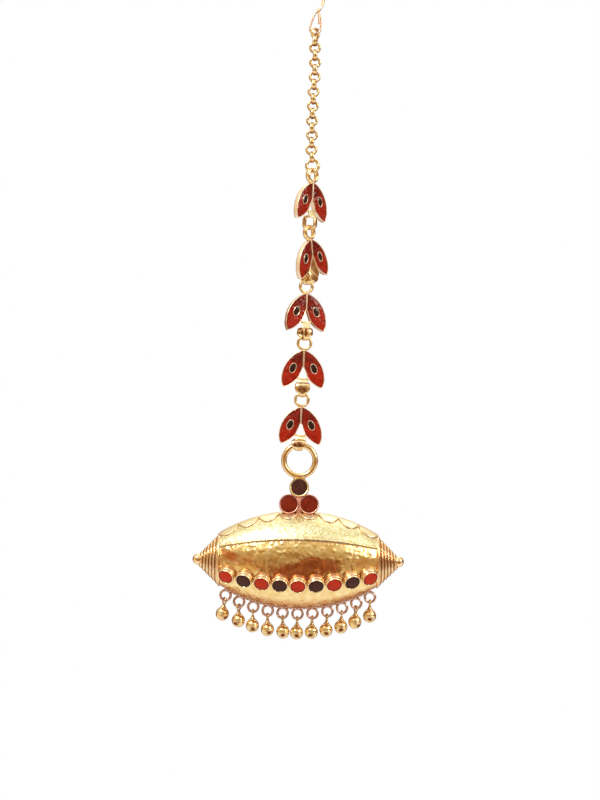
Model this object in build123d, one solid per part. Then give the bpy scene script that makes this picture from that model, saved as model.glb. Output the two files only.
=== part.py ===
from build123d import *
import math
import os
from collections import namedtuple

# A maang tikka (forehead pendant): a wire hair hook, a belcher chain, five enamelled leaf
# links and a hollow spindle pendant with a fringe of ball drops.
#
# Millimetres, +Z up, front towards -Y.  The origin is the inside of the hook's bend, where the
# piece hangs.  Each part is first drawn face up: x to the right, y up the hanging piece and z
# towards the viewer.  STAND then turns it upright.

STAND = Rot(90, 0, 0)
GAP = 0.03                      # clearance between an enamel and its tray

# ---- hair hook and the chain below it
hook_wire = 0.35                # radius of the shank and bend
hook_bend = 1.6                 # inside radius of the bend
hook_tip_drop = 5.4             # how far the free end comes down
hook_tip_out = 0.35             # the free end flares out by this much
hook_shank_drop = 6.8           # where the straight shank starts to lean in
eye_wire = 0.2
eye_half_width = 1.15
eye_top = Vector(0.5, -11.0)    # where shank and eye meet
eye_arc_y = -14.9               # centre of the eye's round end

chain_radius = 1.15
ChainPoint = namedtuple("ChainPoint", "x y")
CHAIN_ROUTE = (
    ChainPoint(0.0, -16.55),
    ChainPoint(0.06, -24.5),
    ChainPoint(-0.3, -32.0),
    ChainPoint(-0.45, -38.0),
    ChainPoint(-0.35, -43.05),
)
jump_ring_at = Vector(-0.17, -45.03)
jump_ring_radius = 1.4
jump_ring_wire = 0.28

# ---- leaf links: how each one hangs.  turn is about the hanging line, nod tips its foot
# forward, lean tips its foot to the left and kink bends its bail to the left of its leaves,
# all in degrees.
LeafHang = namedtuple("LeafHang", "x y turn nod lean kink")
LEAF_HANGS = (
    LeafHang(-0.20, -47.2, 46, 0, 2.2, 0),
    LeafHang(-0.70, -59.72, 46, -13, -15, 36),
    LeafHang(-1.15, -71.6, 22, 0, 1.0, 0),
    LeafHang(-1.40, -84.1, 2, 0, 1.8, 0),
    LeafHang(-1.80, -96.55, 0, 0, 1.7, 0),
)
link_ring_radius = 1.45
link_ring_wire = 0.275
leaf_thick = 1.2
leaf_rim = 0.24                 # gold edge left round each enamel
tray_depth = 0.45
eye_outer = (0.75, 1.17)        # half width and half height of the gold ring round a leaf's eye
eye_wall = 0.2
eye_at = Vector(2.32, -5.55)
eye_tilt = 20
bridge_top = -7.55              # strip that joins the two leaves above the bail
bridge_half_width = 1.45
bridge_depth = 0.84
bail_drop = 10.3                # from the top ring's centre to the bail's centre
bail_inner = 1.27
bail_wall = 0.28
BailWidth = namedtuple("BailWidth", "height half_width")
LINK_BAIL = (                   # heights are above the bail's own centre
    BailWidth(1.8, 1.4),
    BailWidth(0.6, 1.6),
    BailWidth(-0.2, 1.6),
    BailWidth(-0.65, 0.95),
    BailWidth(-1.0, 0.45),
    BailWidth(-1.8, 0.45),
)
last_bail_inner = 0.92          # the last link's bail fits round the pendant's ring
last_bail_wall = 0.25
LAST_BAIL = (
    BailWidth(1.3, 1.4),
    BailWidth(0.55, 0.95),
    BailWidth(-1.3, 0.95),
)
knee_y = -7.9                   # a kinked bail is bent about this point
BENT_STRIP = (                  # the strip that a kinked bail has pulled flat, from its ring
    BailWidth(-5.2, 0.4),
    BailWidth(-7.6, 1.2),
    BailWidth(-9.4, 1.7),
    BailWidth(-10.5, 0.8),
)

# ---- pendant, drawn from the centre of its big ring
pendant_at = Vector(-2.1, -109.9)
big_ring_radius = 3.44
big_ring_wire = 0.625
collar = (2.6, 1.3, 1.2)        # width, height, depth of the block below the big ring
collar_y = -4.1

body_axis = -22.0
body_half_length = 17.45
body_mid_radius = 10.4
body_end_radius = 5.43
body_wall = 1.0
body_back = -0.8                # the open back ends in this plane
depth_ratio = 0.8               # the body is flatter than round
plate_rise = 0.25               # upper plate proud of the lower one
plate_mid_y = 5.05              # lower edge of the upper plate, above the body's axis
plate_end_y = 2.96
border_rise = 0.5               # scalloped border proud of the lower plate
scallops = 8
cusp_drop = 0.3
scallop_drop = 1.4

ribs = 6
rib_pitch = 0.68
rib_first_radius = 5.3
rib_last_radius = 1.75
rib_groove = 0.28
cone_inner_radius = 3.57        # the hollow inside a cone, at its wide end and where it stops
cone_inner_end_radius = 0.79
cone_inner_length = 3.06
cone_inner_start = 0.4
tip_neck_radius = 0.95
tip_radius = 1.2
tip_at = 22.05

rim_wire = 0.36
rim_half_angle = 28.5
body_cells = 9
cell_pitch = 3.8
cell_angle = 24                 # below the horizontal, round the body's section
cell_droop = 1.8                # a cell faces down this many times as steeply as the body there
cell_face = 1.0                 # height over the body of the point it is tipped about
CellStep = namedtuple("CellStep", "radius top")
CELL_STEPS = (CellStep(1.95, 0.75), CellStep(1.8, 1.3))
cell_pocket = 1.6
pocket_depth = 0.5
enamel_thick = 0.45

top_cell_radius = 2.1
top_cell_thick = 1.5
top_pocket = 1.78
top_cell_tilt = 14              # the three cells lean forward over the body
top_web = (1.3, 5.0, 1.1)       # width, height, depth of the strip between the lower two
top_web_drop = 5.4
TopCell = namedtuple("TopCell", "name x drop")
TOP_CELLS = (                   # drop is measured down the leaning plane from the collar
    TopCell("dark", 0.0, 1.95),
    TopCell("left", -2.27, 5.65),
    TopCell("right", 2.27, 5.65),
)

drop_ring_radius = 1.1
drop_ring_wire = 0.26
drop_ring_gap = 1.35            # ring centre outside the body's outline
drop_pitch_angle = 5.49
BallHang = namedtuple("BallHang", "lean turn")
BALL_HANGS = (                  # degrees, from left to right
    BallHang(9.0, 35), BallHang(1.4, -30), BallHang(1.4, 0), BallHang(0, 12),
    BallHang(-2.0, -8), BallHang(2.0, 5), BallHang(2.6, -10), BallHang(3.4, 8),
    BallHang(2.6, 0), BallHang(3.6, 30), BallHang(0.5, -6),
)
ball_radius = 1.43
ball_drop = 4.1                 # ring centre to ball centre
ball_seam = 0.07
ball_eye_radius = 0.64
ball_eye_wire = 0.2
ball_eye_gap = 0.07             # clearance over the ring's wire, as some drops hang turned
ball_neck = 0.26


def hanging(at, turn=0.0, nod=0.0, lean=0.0):
    """Placement of a piece drawn face up about its own hanging point."""
    return Pos(at.X, 0, at.Y) * Rot(0, lean, 0) * Rot(0, 0, turn) * Rot(-nod, 0, 0) * STAND


def save(shape, name):
    """Write one solid to its own STEP file."""
    shape.label = name
    export_step(shape, f"parts/{name}.step")


# ---- hook and chain
def tube(path, radius):
    """A round wire along a path."""
    section = Plane(origin=path @ 0, z_dir=path % 0) * Circle(radius)
    return sweep(section, path=path)


def hair_hook():
    """Shank, bend and free end, with a teardrop eye for the chain."""
    centre_radius = hook_bend + hook_wire
    left = Vector(-centre_radius, -hook_bend)
    right = Vector(centre_radius, -hook_bend)
    free_end = Line((left.X - hook_tip_out, -hook_tip_drop), left)
    bend = ThreePointArc(left, (0, hook_wire), right)
    shank = Line(right, (right.X, -hook_shank_drop))
    lean_in = TangentArc((right.X, -hook_shank_drop), eye_top, tangent=(0, -1))
    hook = tube(free_end, hook_wire)
    hook += Pos(left.X, left.Y, 0) * Sphere(hook_wire)
    for run in (bend, shank, lean_in):
        hook += tube(run, hook_wire)
    for end in (free_end @ 0, eye_top):
        hook += Pos(end.X, end.Y, 0) * Sphere(hook_wire)
    round_end = ThreePointArc(
        (-eye_half_width, eye_arc_y), (0, eye_arc_y - eye_half_width), (eye_half_width, eye_arc_y)
    )
    for run in (Line(eye_top, round_end @ 0), round_end, Line(eye_top, round_end @ 1)):
        hook += tube(run, eye_wire)
    for corner in (round_end @ 0, round_end @ 1):
        hook += Pos(corner.X, corner.Y, 0) * Sphere(eye_wire)
    return STAND * hook


def belcher_chain():
    """One tube along the chain's route, its bends tangent arcs as large as the runs allow."""
    points = [Vector(p.x, p.y) for p in CHAIN_ROUTE]
    radii = []
    for before, corner, after in zip(points, points[1:], points[2:]):
        half_turn = math.radians((corner - before).get_angle(after - corner)) / 2
        shorter = min((corner - before).length, (after - corner).length)
        radii.append(0.45 * shorter / math.tan(half_turn))
    path = FilletPolyline(*points, radius=radii)
    chain = tube(path, chain_radius)
    section = math.pi * chain_radius**2
    print("chain bend radii", [round(r, 1) for r in radii])
    print("chain volume / section x length", round(chain.volume / (section * path.length), 4))
    return STAND * chain


# ---- leaf links
def leaf_outline():
    """The right-hand leaf as a face, its straight side on the link's centre line."""
    top = (0, -1.45)
    belly = (4.7, -7.3)
    tip = (4.25, -9.85)
    heel = (1.0, -7.55)
    notch = (0, -5.1)
    edges = (
        ThreePointArc(top, (2.95, -3.3), belly),
        ThreePointArc(belly, (4.66, -8.75), tip),
        ThreePointArc(tip, (2.4, -8.95), heel),
        ThreePointArc(heel, (0.45, -6.2), notch),
        Line(notch, top),
    )
    return make_face(edges)


def leaf_eye(inset):
    """The oval eye of the right-hand leaf, smaller all round by the inset."""
    half_width, half_height = eye_outer
    oval = Ellipse(half_width - inset, half_height - inset)
    return Pos(eye_at.X, eye_at.Y) * Rot(0, 0, eye_tilt) * oval


def tapered_face(widths, centre_y=0.0):
    """A face as wide at each height as its rows say, the heights taken from a centre."""
    right = [(row.half_width, centre_y + row.height) for row in widths]
    left = [(-x, y) for x, y in reversed(right)]
    return make_face(Polyline(*right, *left, close=True))


def bail(centre_y, inner, wall, widths):
    """A strip curled into a loop about a left-right axis, with its width tapered by height."""
    outer = inner + wall
    span = 2 * max(row.half_width for row in widths)
    across = Pos(0, centre_y, 0) * Rot(0, 90, 0)
    loop = across * (Cylinder(outer, span) - Cylinder(inner, span + 1))
    return loop & extrude(tapered_face(widths, centre_y), amount=2 * outer, both=True)


def leaf_foot(last, kink):
    """The bail and the bridge that carries it, the bail bent to the left by the kink."""
    if last:
        bail_y = pendant_at.Y + big_ring_radius - LEAF_HANGS[-1].y
        loop = bail(bail_y, last_bail_inner, last_bail_wall, LAST_BAIL)
        loop_top = bail_y + last_bail_inner
    else:
        loop = bail(-bail_drop, bail_inner, bail_wall, LINK_BAIL)
        loop_top = -bail_drop + bail_inner
    height = bridge_top - loop_top
    middle = (bridge_top + loop_top) / 2
    foot = Pos(0, middle, 0) * Box(2 * bridge_half_width, height, bridge_depth)
    if kink:
        loop = Pos(0, knee_y, 0) * Rot(0, 0, -kink) * Pos(0, -knee_y, 0) * loop
        foot += extrude(tapered_face(BENT_STRIP), amount=bridge_depth / 2, both=True)
    return foot + loop


def leaf_link(last, kink):
    """Casting of one link and its enamels, as {suffix: solid}, drawn from its top ring."""
    front = leaf_thick / 2
    right_leaf = leaf_outline()
    tray = offset(right_leaf, amount=-leaf_rim)
    fill = offset(right_leaf, amount=-leaf_rim - GAP)
    plate = extrude(right_leaf, amount=front, both=True)
    casting = Torus(link_ring_radius, link_ring_wire) + plate + mirror(plate, about=Plane.YZ)
    casting += leaf_foot(last, kink)
    pocket = Pos(0, 0, front - tray_depth) * extrude(tray - leaf_eye(0), amount=tray_depth + 1)
    pocket += Pos(0, 0, front - tray_depth) * extrude(leaf_eye(eye_wall), amount=tray_depth + 1)
    casting -= pocket + mirror(pocket, about=Plane.YZ)

    floor = front - tray_depth + GAP
    red = Pos(0, 0, floor) * extrude(fill - leaf_eye(-GAP), amount=tray_depth - 2 * GAP)
    eye = Pos(0, 0, floor) * extrude(leaf_eye(eye_wall + GAP), amount=tray_depth - 2 * GAP)
    return {
        "link": casting,
        "enamel_right": red,
        "enamel_left": mirror(red, about=Plane.YZ),
        "eye_right": eye,
        "eye_left": mirror(eye, about=Plane.YZ),
    }


# ---- pendant
def outline_arc_radius():
    """The body's outline is one arc through its middle and its two ends."""
    sag = body_mid_radius - body_end_radius
    return (body_half_length**2 + sag**2) / (2 * sag)


def body_radius(x):
    """Height of the outline above the body's axis, at a distance from the middle."""
    arc = outline_arc_radius()
    return body_mid_radius - arc + math.sqrt(arc**2 - x**2)


def flatten(shape):
    """Squash a turned shape to the body's depth and set it on the body's axis."""
    return Pos(0, body_axis, 0) * scale(shape, by=(1, 1, depth_ratio))


def turned(edges):
    """A closed outline of edges turned about the left-right axis."""
    return revolve(make_face(edges), axis=Axis.X)


def spindle(rise):
    """The body turned about its length, its outline raised by the given amount."""
    ends = body_end_radius + rise
    arc = ThreePointArc(
        (-body_half_length, ends), (0, body_mid_radius + rise), (body_half_length, ends)
    )
    sides = Polyline(arc @ 1, (body_half_length, 0), (-body_half_length, 0), arc @ 0)
    return flatten(turned([arc, sides]))


def ribbed_cone():
    """The right-hand cone, a stack of rounded ribs that gets smaller towards its ball tip."""
    step = (rib_first_radius - rib_last_radius) / (ribs - 1)
    edges = []
    corner = Vector(body_half_length, rib_first_radius - rib_groove)
    for rib in range(ribs):
        peak = rib_first_radius - rib * step
        x = body_half_length + (rib + 0.5) * rib_pitch
        groove = Vector(x + rib_pitch / 2, peak - step / 2 - rib_groove)
        edges.append(ThreePointArc(corner, (x, peak), groove))
        corner = groove
    root = body_half_length - body_wall
    neck = Polyline(corner, (tip_at, tip_neck_radius), (tip_at, 0), (root, 0))
    back = Polyline(neck @ 1, (root, edges[0].position_at(0).Y), edges[0] @ 0)
    return flatten(turned([*edges, neck, back]))


def cavity():
    """The hollow inside body and cones, open to the back."""
    inner = ThreePointArc(
        (-body_half_length, body_end_radius - body_wall),
        (0, body_mid_radius - body_wall),
        (body_half_length, body_end_radius - body_wall),
    )
    cone_start = body_half_length + cone_inner_start
    cone_end = body_half_length + cone_inner_length
    sides = Polyline(
        inner @ 1,
        (cone_start, cone_inner_radius),
        (cone_end, cone_inner_end_radius),
        (cone_end, 0),
        (-cone_end, 0),
        (-cone_end, cone_inner_end_radius),
        (-cone_start, cone_inner_radius),
        inner @ 0,
    )
    return flatten(turned([inner, sides]))


def above(lower_edge):
    """Everything in front of the back plane and above a lower edge drawn from end to end."""
    roof = body_axis + body_mid_radius + 3
    frame = Polyline(
        lower_edge[-1] @ 1,
        (body_half_length, roof),
        (-body_half_length, roof),
        lower_edge[0] @ 0,
    )
    return Pos(0, 0, body_back) * extrude(make_face([*lower_edge, frame]), amount=20)


def upper_plate():
    """The plate over the upper half of the body, proud of the lower half."""
    edge = ThreePointArc(
        (-body_half_length, body_axis + plate_end_y),
        (0, body_axis + plate_mid_y),
        (body_half_length, body_axis + plate_end_y),
    )
    return spindle(plate_rise) & above([edge])


def scalloped_border():
    """The raised border along the body's upper edge, scalloped on its lower side."""
    width = 2 * body_half_length / scallops
    edges = []
    for scallop in range(scallops):
        start = -body_half_length + scallop * width
        middle = start + width / 2
        end = start + width
        heights = [body_axis + body_radius(x) + border_rise for x in (start, middle, end)]
        edges.append(
            ThreePointArc(
                (start, heights[0] - cusp_drop),
                (middle, heights[1] - scallop_drop),
                (end, heights[2] - cusp_drop),
            )
        )
    return spindle(border_rise) & above(edges)


def rim():
    """The wire along the lower edge, on the arc of the body's outline."""
    arc = outline_arc_radius()
    centre = body_axis - body_mid_radius + arc
    ends = math.radians(rim_half_angle)
    path = ThreePointArc(
        (-arc * math.sin(ends), centre - arc * math.cos(ends)),
        (0, centre - arc),
        (arc * math.sin(ends), centre - arc * math.cos(ends)),
    )
    return tube(path, rim_wire)


def drop_ring_centres():
    """Centres of the rings below the rim, evenly spaced along the body's outline."""
    arc = outline_arc_radius()
    centre = body_axis - body_mid_radius + arc
    reach = arc + drop_ring_gap
    middle = (len(BALL_HANGS) - 1) / 2
    angles = [math.radians((k - middle) * drop_pitch_angle) for k in range(len(BALL_HANGS))]
    return [Vector(reach * math.sin(a), centre - reach * math.cos(a)) for a in angles]


def cell_planes():
    """A plane for each body cell: its face stays over the body and looks further down."""
    arc = outline_arc_radius()
    angle = math.radians(cell_angle)
    planes = []
    for cell in range(body_cells):
        x = (cell - (body_cells - 1) / 2) * cell_pitch
        radius = body_radius(x)
        slope = -x / math.sqrt(arc**2 - x**2)
        at = (x, body_axis - radius * math.sin(angle), depth_ratio * radius * math.cos(angle))
        outward = Vector(-slope, -math.sin(angle), math.cos(angle) / depth_ratio).normalized()
        tipped = Vector(outward.X, cell_droop * outward.Y, outward.Z).normalized()
        middle = Vector(*at) + cell_face * (outward - tipped)
        planes.append(Plane(origin=middle, x_dir=(tipped.Z, 0, -tipped.X), z_dir=tipped))
    return planes


def post(radius, bottom, top):
    """A round post from one height to another."""
    return Pos(0, 0, (bottom + top) / 2) * Cylinder(radius, top - bottom)


def top_cell_plane():
    """The leaning plane of the three cells above the body."""
    return Plane(origin=(0, collar_y, 0)) * Rot(-top_cell_tilt, 0, 0)


def pendant():
    """The soldered pendant and its enamels, as {name: solid}, drawn from its big ring."""
    cone = ribbed_cone()
    body = spindle(0) + cone + mirror(cone, about=Plane.YZ)
    body += upper_plate()
    body += scalloped_border()
    front_half = Pos(0, body_axis, body_back + 10) * Box(60, 40, 20)
    body = body & front_half
    for plane in cell_planes():
        for step in CELL_STEPS:
            body += plane * post(step.radius, -0.6, step.top)
    body -= cavity()
    for side in (-1, 1):
        body += Pos(side * tip_at, body_axis, 0) * Sphere(tip_radius)
    body += rim()
    for at in drop_ring_centres():
        body += Pos(at.X, at.Y, 0) * Torus(drop_ring_radius, drop_ring_wire)

    solids = {}
    pocket_top = CELL_STEPS[-1].top
    for number, plane in enumerate(cell_planes(), start=1):
        floor = pocket_top - pocket_depth
        body -= plane * post(cell_pocket, floor, pocket_top + 1)
        disc = post(cell_pocket - GAP, floor + GAP, floor + GAP + enamel_thick)
        solids[f"body_enamel_{number}"] = plane * disc

    body += Torus(big_ring_radius, big_ring_wire)
    body += Pos(0, collar_y, 0) * Box(*collar)
    lean = top_cell_plane()
    half = top_cell_thick / 2
    body += lean * Pos(0, -top_web_drop, -0.1) * Box(*top_web)
    for cell in TOP_CELLS:
        place = lean * Pos(cell.x, -cell.drop, 0)
        body += place * post(top_cell_radius, -half, half)
    for cell in TOP_CELLS:
        place = lean * Pos(cell.x, -cell.drop, 0)
        body -= place * post(top_pocket, half - pocket_depth, half + 1)
        floor = half - pocket_depth + GAP
        solids[f"top_enamel_{cell.name}"] = place * post(
            top_pocket - GAP, floor, floor + enamel_thick
        )

    solids["pendant"] = body
    return solids


def ball_drop_piece():
    """A ball with its seam, neck and wire eye, drawn from the centre of the ring it hangs on."""
    ring_foot = -drop_ring_radius
    eye_y = ring_foot + drop_ring_wire + ball_eye_gap + ball_eye_wire - ball_eye_radius
    ball = Pos(0, -ball_drop, 0) * Sphere(ball_radius)
    seam = Pos(0, -ball_drop, 0) * Rot(90, 0, 0) * Torus(ball_radius, ball_seam)
    eye = Pos(0, eye_y, 0) * Rot(0, 90, 0) * Torus(ball_eye_radius, ball_eye_wire)
    neck_top = eye_y - ball_eye_radius
    neck_height = neck_top + ball_drop - ball_radius + 0.2
    neck = Pos(0, neck_top - neck_height / 2, 0) * Rot(90, 0, 0) * Cylinder(ball_neck, neck_height)
    return ball + seam + eye + neck


def main():
    os.makedirs("parts", exist_ok=True)
    save(hair_hook(), "hair_hook")
    save(belcher_chain(), "belcher_chain")
    save(hanging(jump_ring_at) * Torus(jump_ring_radius, jump_ring_wire), "chain_jump_ring")

    for number, hang in enumerate(LEAF_HANGS, start=1):
        place = hanging(Vector(hang.x, hang.y), hang.turn, hang.nod, hang.lean)
        for suffix, solid in leaf_link(number == len(LEAF_HANGS), hang.kink).items():
            kind, _, side = suffix.partition("_")
            name = f"leaf_{kind}_{number}" + (f"_{side}" if side else "")
            save(place * solid, name)

    place = hanging(pendant_at)
    for name, solid in pendant().items():
        save(place * solid, name)
    ball = ball_drop_piece()
    for number, (at, hang) in enumerate(zip(drop_ring_centres(), BALL_HANGS), start=1):
        swing = hanging(pendant_at + at, hang.turn, 0, hang.lean)
        save(swing * ball, f"ball_drop_{number}")


main()
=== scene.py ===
"""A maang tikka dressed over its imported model: a wire hair hook, a belcher chain, five enamelled
leaf links and a hollow spindle pendant with a fringe of ball drops.

Every piece is drawn in millimetres face up, x to the right, y up the hanging piece and z towards
the viewer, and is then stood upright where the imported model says.
"""

import logging
import math
from collections.abc import Callable, Iterable, Sequence
from dataclasses import dataclass, field
from enum import Enum
from functools import reduce
from operator import add
from typing import Any

import bpy
import numpy as np
from mathutils import Euler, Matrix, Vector


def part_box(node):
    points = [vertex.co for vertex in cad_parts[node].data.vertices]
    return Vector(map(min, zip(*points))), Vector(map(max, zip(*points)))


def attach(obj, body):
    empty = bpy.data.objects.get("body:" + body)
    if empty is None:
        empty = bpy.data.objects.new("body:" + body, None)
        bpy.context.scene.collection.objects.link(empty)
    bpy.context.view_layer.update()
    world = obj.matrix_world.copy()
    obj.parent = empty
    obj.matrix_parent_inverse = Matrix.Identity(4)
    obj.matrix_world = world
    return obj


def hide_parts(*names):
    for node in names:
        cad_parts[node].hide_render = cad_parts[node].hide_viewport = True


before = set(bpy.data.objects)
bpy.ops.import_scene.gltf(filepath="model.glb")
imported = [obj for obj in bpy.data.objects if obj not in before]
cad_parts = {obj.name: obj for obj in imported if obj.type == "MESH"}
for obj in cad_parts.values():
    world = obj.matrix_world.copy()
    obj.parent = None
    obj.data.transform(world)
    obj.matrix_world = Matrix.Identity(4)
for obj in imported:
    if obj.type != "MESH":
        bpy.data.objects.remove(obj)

MM = 0.001
LOG = logging.getLogger("maang_tikka")
Colour = tuple[float, float, float]
Pair = tuple[float, float]
Array = np.ndarray
FACE_ON = (0, 0, 1)


class Body(Enum):
    """The bodies that pieces ride on."""

    HANGER = "hanger"
    PENDANT = "pendant"


class Slot(Enum):
    """The material slots of the record."""

    GOLD = "gold_plated_brass"
    LEAF_RED = "red_leaf_enamel"
    LEAF_DARK = "dark_leaf_enamel"
    CELL_RED = "red_cell_enamel"
    CELL_MAROON = "maroon_cell_enamel"
    CELL_DARK = "dark_cell_enamel"


# ------------------------------------------------------------------ placing
def turn_about(axis: int, degrees: float) -> Array:
    """Right-handed turn about one axis.

    Args:
        axis: 0, 1 or 2 for x, y or z.
        degrees: Angle of the turn.

    Returns:
        The 3 by 3 matrix.
    """
    c, s = math.cos(math.radians(degrees)), math.sin(math.radians(degrees))
    i, j = (axis + 1) % 3, (axis + 2) % 3
    turn = np.eye(3)
    turn[i, i] = turn[j, j] = c
    turn[i, j], turn[j, i] = -s, s
    return turn


def hanging_turn(turn: float = 0.0, nod: float = 0.0, lean: float = 0.0) -> Array:
    """Turn that stands a piece upright and then hangs it.

    Args:
        turn: Degrees about the hanging line.
        nod: Degrees that tip the foot forward.
        lean: Degrees that tip the foot to the left.

    Returns:
        The 3 by 3 matrix: upright first, then nod, turn and lean.
    """
    upright = turn_about(0, 90)
    return turn_about(1, lean) @ turn_about(2, turn) @ turn_about(0, -nod) @ upright


def box_mm(node: str) -> tuple[Array, Array]:
    """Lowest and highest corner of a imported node, in millimetres."""
    low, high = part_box(node)
    return np.array(low) / MM, np.array(high) / MM


# ------------------------------------------------------------------ skins
@dataclass
class Skin:
    """A mesh in the making: points in millimetres, four- and three-sided faces, and a tone.

    The tone runs from 0, bright, to 1, dark in a crevice: it paints shade and reflections, with
    some real tarnish.
    """

    points: Array
    quads: Array
    tris: Array
    tone: Array

    def __add__(self, other: "Skin") -> "Skin":
        """Two skins as one."""
        shift = len(self.points)
        return Skin(
            np.concatenate([self.points, other.points]),
            np.concatenate([self.quads, other.quads + shift]),
            np.concatenate([self.tris, other.tris + shift]),
            np.concatenate([self.tone, other.tone]),
        )

    def moved(self, turn: Array, shift: Array | tuple[float, ...] = (0, 0, 0)) -> "Skin":
        """The skin turned by a matrix and then shifted, its faces still outward."""
        points = self.points @ turn.T + np.asarray(shift, float)
        return Skin(points, self.quads, self.tris, self.tone).outward()

    def mirrored(self) -> "Skin":
        """The skin mirrored left to right."""
        return self.moved(np.diag([-1.0, 1.0, 1.0]))

    def shaded(self, tone: Array | float) -> "Skin":
        """The skin with another tone, the darker of the old and the new."""
        return Skin(self.points, self.quads, self.tris, np.maximum(self.tone, tone))

    def outward(self) -> "Skin":
        """Faces turned outward: their signed volume, the sum of a . (b x c) / 6, is positive."""
        corners = [self.quads[:, [0, 1, 2]], self.quads[:, [0, 2, 3]], self.tris]
        a, b, c = np.moveaxis(self.points[np.concatenate(corners)], 1, 0)
        if np.einsum("ij,ij->i", a, np.cross(b, c)).sum() < 0:
            return Skin(self.points, self.quads[:, ::-1], self.tris[:, ::-1], self.tone)
        return self


def joined(skins: Iterable[Skin]) -> Skin:
    """Several skins as one, in their order."""
    return reduce(add, skins)


def loft(
    rings: Array,
    looped: bool = False,
    tips: tuple[Array, Array] | None = None,
    tone: Array | float = 0.0,
) -> Skin:
    """Join closed rings of points into one closed skin.

    Ring i, point j joins ring i + 1, point j.  Open ends are fans about a tip point.

    Args:
        rings: Points as (ring, point, xyz).
        looped: Whether the last ring joins the first.
        tips: Middle points of the two end fans, else each end ring's own middle.
        tone: One tone, or one for each ring, or one for each point.

    Returns:
        The skin, facing outward.
    """
    count, around = rings.shape[:2]
    index = np.arange(count * around).reshape(count, around)
    beside = np.roll(index, -1, axis=1)
    rows = count if looped else count - 1
    ahead, ahead_beside = np.roll(index, -1, axis=0), np.roll(beside, -1, axis=0)
    quads = np.stack([index, beside, ahead_beside, ahead], axis=-1)[:rows].reshape(-1, 4)
    tones = np.broadcast_to(np.asarray(tone, float).reshape(-1, 1) if np.ndim(tone) == 1
                            else np.asarray(tone, float), (count, around)).ravel()
    points = rings.reshape(-1, 3)
    tris = np.empty((0, 3), int)
    if not looped:
        first, last = tips if tips is not None else (rings[0].mean(0), rings[-1].mean(0))
        points = np.concatenate([points, [first, last]])
        tones = np.concatenate([tones, [tones[0], tones[-1]]])
        start = np.stack([beside[0], index[0], np.full(around, count * around)], axis=1)
        end = np.stack([index[-1], beside[-1], np.full(around, count * around + 1)], axis=1)
        tris = np.concatenate([start, end])
    return Skin(points, quads, tris, tones).outward()


def grid_quads(index: Array) -> Array:
    """Quads between the neighbours of a grid of point numbers."""
    corners = [index[:-1, :-1], index[1:, :-1], index[1:, 1:], index[:-1, 1:]]
    return np.stack(corners, -1).reshape(-1, 4)


def shell_between(outer: Array, inner: Array, tone: Array | float = 0.0,
                  inner_tone: float = 0.5) -> Skin:
    """A closed shell between two open grids of points, joined along their four edges.

    Args:
        outer: Points of the outer side as (row, column, xyz).
        inner: Points of the inner side, the same shape.
        tone: Tone of the outer points.
        inner_tone: Tone of the inner points.

    Returns:
        The skin, facing outward.
    """
    rows, columns = outer.shape[:2]
    top = np.arange(rows * columns).reshape(rows, columns)
    under = top + rows * columns

    def strip(a: Array, b: Array) -> Array:
        """Quads between two lines of points."""
        return np.stack([a[:-1], a[1:], b[1:], b[:-1]], -1)

    quads = np.concatenate([
        grid_quads(top),
        grid_quads(under)[:, ::-1],
        strip(top[0], under[0]),
        strip(under[-1], top[-1]),
        strip(under[:, 0], top[:, 0]),
        strip(top[:, -1], under[:, -1]),
    ])
    points = np.concatenate([outer.reshape(-1, 3), inner.reshape(-1, 3)])
    tones = np.concatenate([
        np.broadcast_to(tone, (rows, columns)).ravel(),
        np.full(rows * columns, inner_tone),
    ])
    return Skin(points, quads, np.empty((0, 3), int), tones).outward()


def rays(angle: Array) -> Array:
    """Unit vectors (cos, sin) of angles in radians, as (..., 2)."""
    return np.stack([np.cos(angle), np.sin(angle)], axis=-1)


def widened(unit: Array, half_width: Array, half_height: float) -> Array:
    """A unit section at each of several half widths, as (ring, point, 2)."""
    height = np.broadcast_to(unit[:, 1] * half_height, (len(half_width), len(unit)))
    return np.stack([half_width[:, None] * unit[:, 0], height], axis=-1)


def slices(unit: Array, height: Array, half_width: Array, half_depth: Array | float,
           across: Array | float = 0.0, forward: Array | float = 0.0) -> Array:
    """Level rings, one at each height.

    Args:
        unit: The section, of half width and half depth 1, as (point, 2).
        height: Height of each ring.
        half_width: Half width of each ring.
        half_depth: Half depth of each ring, or one for all.
        across: Place of the rings' middles across, one or one for each.
        forward: Place of the rings' middles forward, one or one for each.

    Returns:
        Rings as (ring, point, xyz).
    """
    level, wide, deep, across, forward = (
        np.broadcast_to(np.asarray(v, float), height.shape)[:, None]
        for v in (height, half_width, half_depth, across, forward)
    )
    shape = (len(height), len(unit))
    return np.stack([across + wide * unit[:, 0], np.broadcast_to(level, shape),
                     forward + deep * unit[:, 1]], axis=-1)


def rounded_section(half_width: float, half_height: float, power: float = 2.0,
                    around: int = 20) -> Array:
    """A superellipse |x/w|^p + |y/h|^p = 1 as (point, 2); power 2 is an ellipse."""
    angle = np.linspace(0, 2 * np.pi, around, endpoint=False)
    c, s = np.cos(angle), np.sin(angle)
    return np.stack([
        half_width * np.sign(c) * np.abs(c) ** (2 / power),
        half_height * np.sign(s) * np.abs(s) ** (2 / power),
    ], axis=1)


def evenly_spaced(loop: Array, count: int) -> Array:
    """A closed loop of points sampled again at equal steps along its length."""
    closed = np.concatenate([loop, loop[:1]])
    along = np.concatenate([[0], np.cumsum(np.linalg.norm(np.diff(closed, axis=0), axis=1))])
    steps = np.linspace(0, along[-1], count, endpoint=False)
    return np.stack([np.interp(steps, along, closed[:, i]) for i in range(loop.shape[1])], axis=1)


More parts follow.
